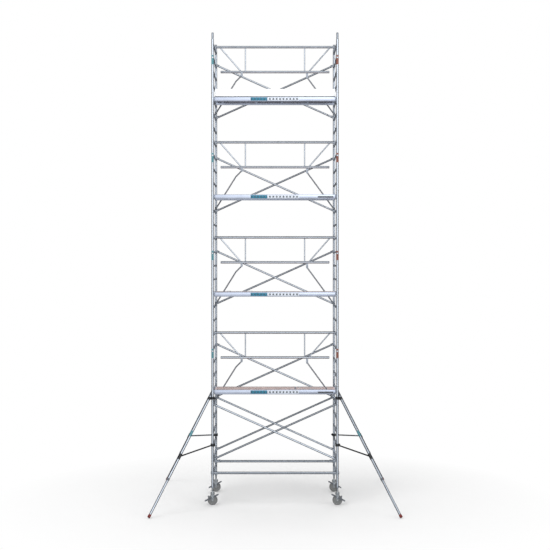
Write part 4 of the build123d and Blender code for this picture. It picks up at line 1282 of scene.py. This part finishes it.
class SCAFFOLD_OT_stabilisers(bpy.types.Operator):
    """Stabiliser arms, clamps, knobs, locking collars, labels and inner legs"""

    bl_idname = "scaffold.stabilisers"
    bl_label = "Stabilisers"

    def execute(self, context):
        for name, (side, side_y) in CORNERS.items():
            node = f"stabiliser_arm_{name}"
            inner = f"stabiliser_leg_{name}"
            groups = sorted_parts(node, arm_rule)
            finished(groups["tube"], f"arm_tube_{name}", node, "tube_splayed", [node])
            # The front struts are made black: painted shade, where a real strut is aluminium like the rear
            # ones.
            strut_look_front_shaded = "black" if side_y < 0 else "tube_splayed"
            finished(groups["strut"], f"arm_strut_{name}", node, strut_look_front_shaded)
            upright = Vector((side * HALF_BAY, side_y * HALF_WIDTH, 0))
            clamps = rounded(eased_bore(groups["clamps"], upright, UPRIGHT_R), 0.002)
            finished(clamps, f"arm_clamps_{name}", node, "black")
            finished(rounded(groups["sleeve"], 0.002), f"arm_sleeve_{name}", node, "black")
            leg_tube = joined(parts_of(inner))
            finished(leg_tube, f"leg_inner_{name}", inner, "tube_splayed", [inner])

            way, foot = stabiliser_line(name)
            outward = Vector((way.x, way.y, 0)).normalized()
            across = Vector((-outward.y, outward.x, 0))
            knobs = [
                placed(upright + Vector((0, 0, height)) + across * 0.0385, outward, across)
                for height in CLAMP_HEIGHTS
            ]
            finished(repeated(clamp_knob(), knobs), f"arm_knobs_{name}", node, "black")
            full = foot - way * ((foot.z - CLAMP_HEIGHTS[0]) / way.z)
            length = (foot - full).length
            outer_end = full + way * (OUTER_SHARE * (length + 0.03))
            outline = [(0.0234, -0.045), (0.0285, -0.045), (0.0295, -0.040), (0.0295, -0.008)]
            outline += [(0.0265, 0.004), (0.0234, 0.004)]
            collar = moved(turned_ring(outline, 40), placed(outer_end, across, way))
            button = turned([(0, 0), (0.006, 0), (0.006, 0.006), (0.0045, 0.008), (0, 0.0085)], 20)
            normal = across.cross(way).normalized()
            moved(button, placed(outer_end - way * 0.07 + normal * 0.0245, way, normal))
            finished(joined([collar, button]), f"arm_collar_{name}", node, "cap")
            middle = full + way * (BAND_SHARE * length)
            band = moved(sleeve(0.0250, 0.0258, -0.06, 0.06), placed(middle, across, way))
            finished(band, f"arm_band_{name}", node, "left_band")
        return {"FINISHED"}


class SCAFFOLD_OT_feet(bpy.types.Operator):
    """Rubber feet of the stabilisers with grip rings"""

    bl_idname = "scaffold.feet"
    bl_label = "Stabiliser feet"

    def execute(self, context):
        outline = [(0, 0), (0.0270, 0), (0.0300, 0.003), (0.0300, 0.009), (0.0280, 0.011), (0.0300, 0.013)]
        outline += [(0.0300, 0.019), (0.0280, 0.021), (0.0300, 0.023), (0.0300, 0.029), (0.0280, 0.031)]
        outline += [(0.0290, 0.034), (0.0275, 0.056), (0.0255, 0.062), (0.0234, 0.062), (0, 0.060)]
        for name in CORNERS:
            way, middle = stabiliser_line(name)
            foot = moved(turned(outline), placed(middle + way * 0.031, (0, 0, 1), -way))
            replaced = [f"stabiliser_foot_{name}"]
            finished(foot, f"foot_{name}", f"stabiliser_leg_{name}", "foot", replaced)
        return {"FINISHED"}


class SCAFFOLD_OT_stage(bpy.types.Operator):
    """Floor, backdrop, lights and camera"""

    bl_idname = "scaffold.stage"
    bl_label = "Stage"

    def execute(self, context):
        deselect()
        bpy.ops.mesh.primitive_plane_add(size=1.0)
        floor = context.object
        floor.scale = (160.0, 160.0, 1.0)
        settle(floor)
        floor.name = "floor"
        floor.data.materials.append(floor_finish("pale_floor"))
        floor.visible_glossy = False

        lights = (
            ("key", (-7.0, -9.0, 17.0), 9.0, 1500.0),
            ("fill", (11.0, -12.0, 9.0), 11.0, 700.0),
            ("back", (2.0, 15.0, 14.0), 11.0, 900.0),
        )
        for name, place, size, power in lights:
            light = bpy.data.lights.new(name, "AREA")
            light.size = size
            light.energy = power
            lamp = bpy.data.objects.new(name, light)
            lamp.location = place
            aim = Vector((0, 0, 3.0)) - Vector(place)
            lamp.rotation_euler = aim.to_track_quat("-Z", "Y").to_euler()
            lamp.visible_glossy = False
            context.scene.collection.objects.link(lamp)

        world = bpy.data.worlds.new("studio")
        context.scene.world = world
        world.use_nodes = True
        sky = NodeMaker(world.node_tree, "Generated")
        plain = sky.node("ShaderNodeBackground", Color=(1.0, 1.0, 1.0, 1.0))
        x, y, z = sky.split()
        front = sky.spread(y, -0.92, -0.38, 1.42, 0.02)
        back = sky.spread(y, 0.80, 1.0, 0.0, 0.20)
        rise = sky.spread(z, -0.20, 0.20, 0.38, 1.32)
        slant = sky.spread(x * z, -0.30, 0.30, 0.25, 1.75)
        studio = sky.node(
            "ShaderNodeBackground", Color=(0.93, 0.97, 1.0, 1.0), Strength=(front + back) * rise * slant
        )
        glossy = sky.node("ShaderNodeLightPath", out="Is Glossy Ray")
        both = sky.node("ShaderNodeMixShader", i0=glossy, i1=plain, i2=studio)
        sky.feed(world.node_tree.nodes["World Output"].inputs["Surface"], both)

        lens = bpy.data.cameras.new("front_view")
        lens.sensor_width = 36.0
        lens.lens = 76.8
        lens.shift_y = -0.0327
        lens.clip_end = 300.0
        camera = bpy.data.objects.new("front_view", lens)
        camera.location = (0.0, -23.5 - HALF_WIDTH, 4.964)
        camera.rotation_euler = (radians(90), 0, 0)
        context.scene.collection.objects.link(camera)
        context.scene.camera = camera
        context.scene.view_settings.view_transform = "Standard"
        return {"FINISHED"}


PIECES = (
    SCAFFOLD_OT_frames,
    SCAFFOLD_OT_bands,
    SCAFFOLD_OT_spigots,
    SCAFFOLD_OT_braces,
    SCAFFOLD_OT_decks,
    SCAFFOLD_OT_deck_bands,
    SCAFFOLD_OT_hatches,
    SCAFFOLD_OT_toe_boards,
    SCAFFOLD_OT_guardrails,
    SCAFFOLD_OT_guardrail_legs,
    SCAFFOLD_OT_spindles,
    SCAFFOLD_OT_casters,
    SCAFFOLD_OT_wheels,
    SCAFFOLD_OT_pedals,
    SCAFFOLD_OT_stabilisers,
    SCAFFOLD_OT_feet,
    SCAFFOLD_OT_stage,
)


class SCAFFOLD_PT_panel(bpy.types.Panel):
    """Lists the pieces of the scaffold"""

    bl_idname = "SCAFFOLD_PT_panel"
    bl_label = "Scaffold"
    bl_space_type = "VIEW_3D"
    bl_region_type = "UI"
    bl_category = "Scaffold"

    def draw(self, context):
        layout = self.layout
        for group in (context.scene.scaffold_colours, context.scene.scaffold_sizes):
            for name in group.__annotations__:
                layout.prop(group, name)
        for piece in PIECES:
            layout.operator(piece.bl_idname)


CLASSES = (ScaffoldColours, ScaffoldSizes, *PIECES, SCAFFOLD_PT_panel)


def register():
    for item in CLASSES:
        bpy.utils.register_class(item)
    bpy.types.Scene.scaffold_colours = bpy.props.PointerProperty(type=ScaffoldColours)
    bpy.types.Scene.scaffold_sizes = bpy.props.PointerProperty(type=ScaffoldSizes)


def unregister():
    del bpy.types.Scene.scaffold_sizes
    del bpy.types.Scene.scaffold_colours
    for item in reversed(CLASSES):
        bpy.utils.unregister_class(item)


def main():
    register()
    make_materials()
    for piece in PIECES:
        getattr(bpy.ops.scaffold, piece.bl_idname.split(".")[1])()


if __name__ == "__main__":
    main()
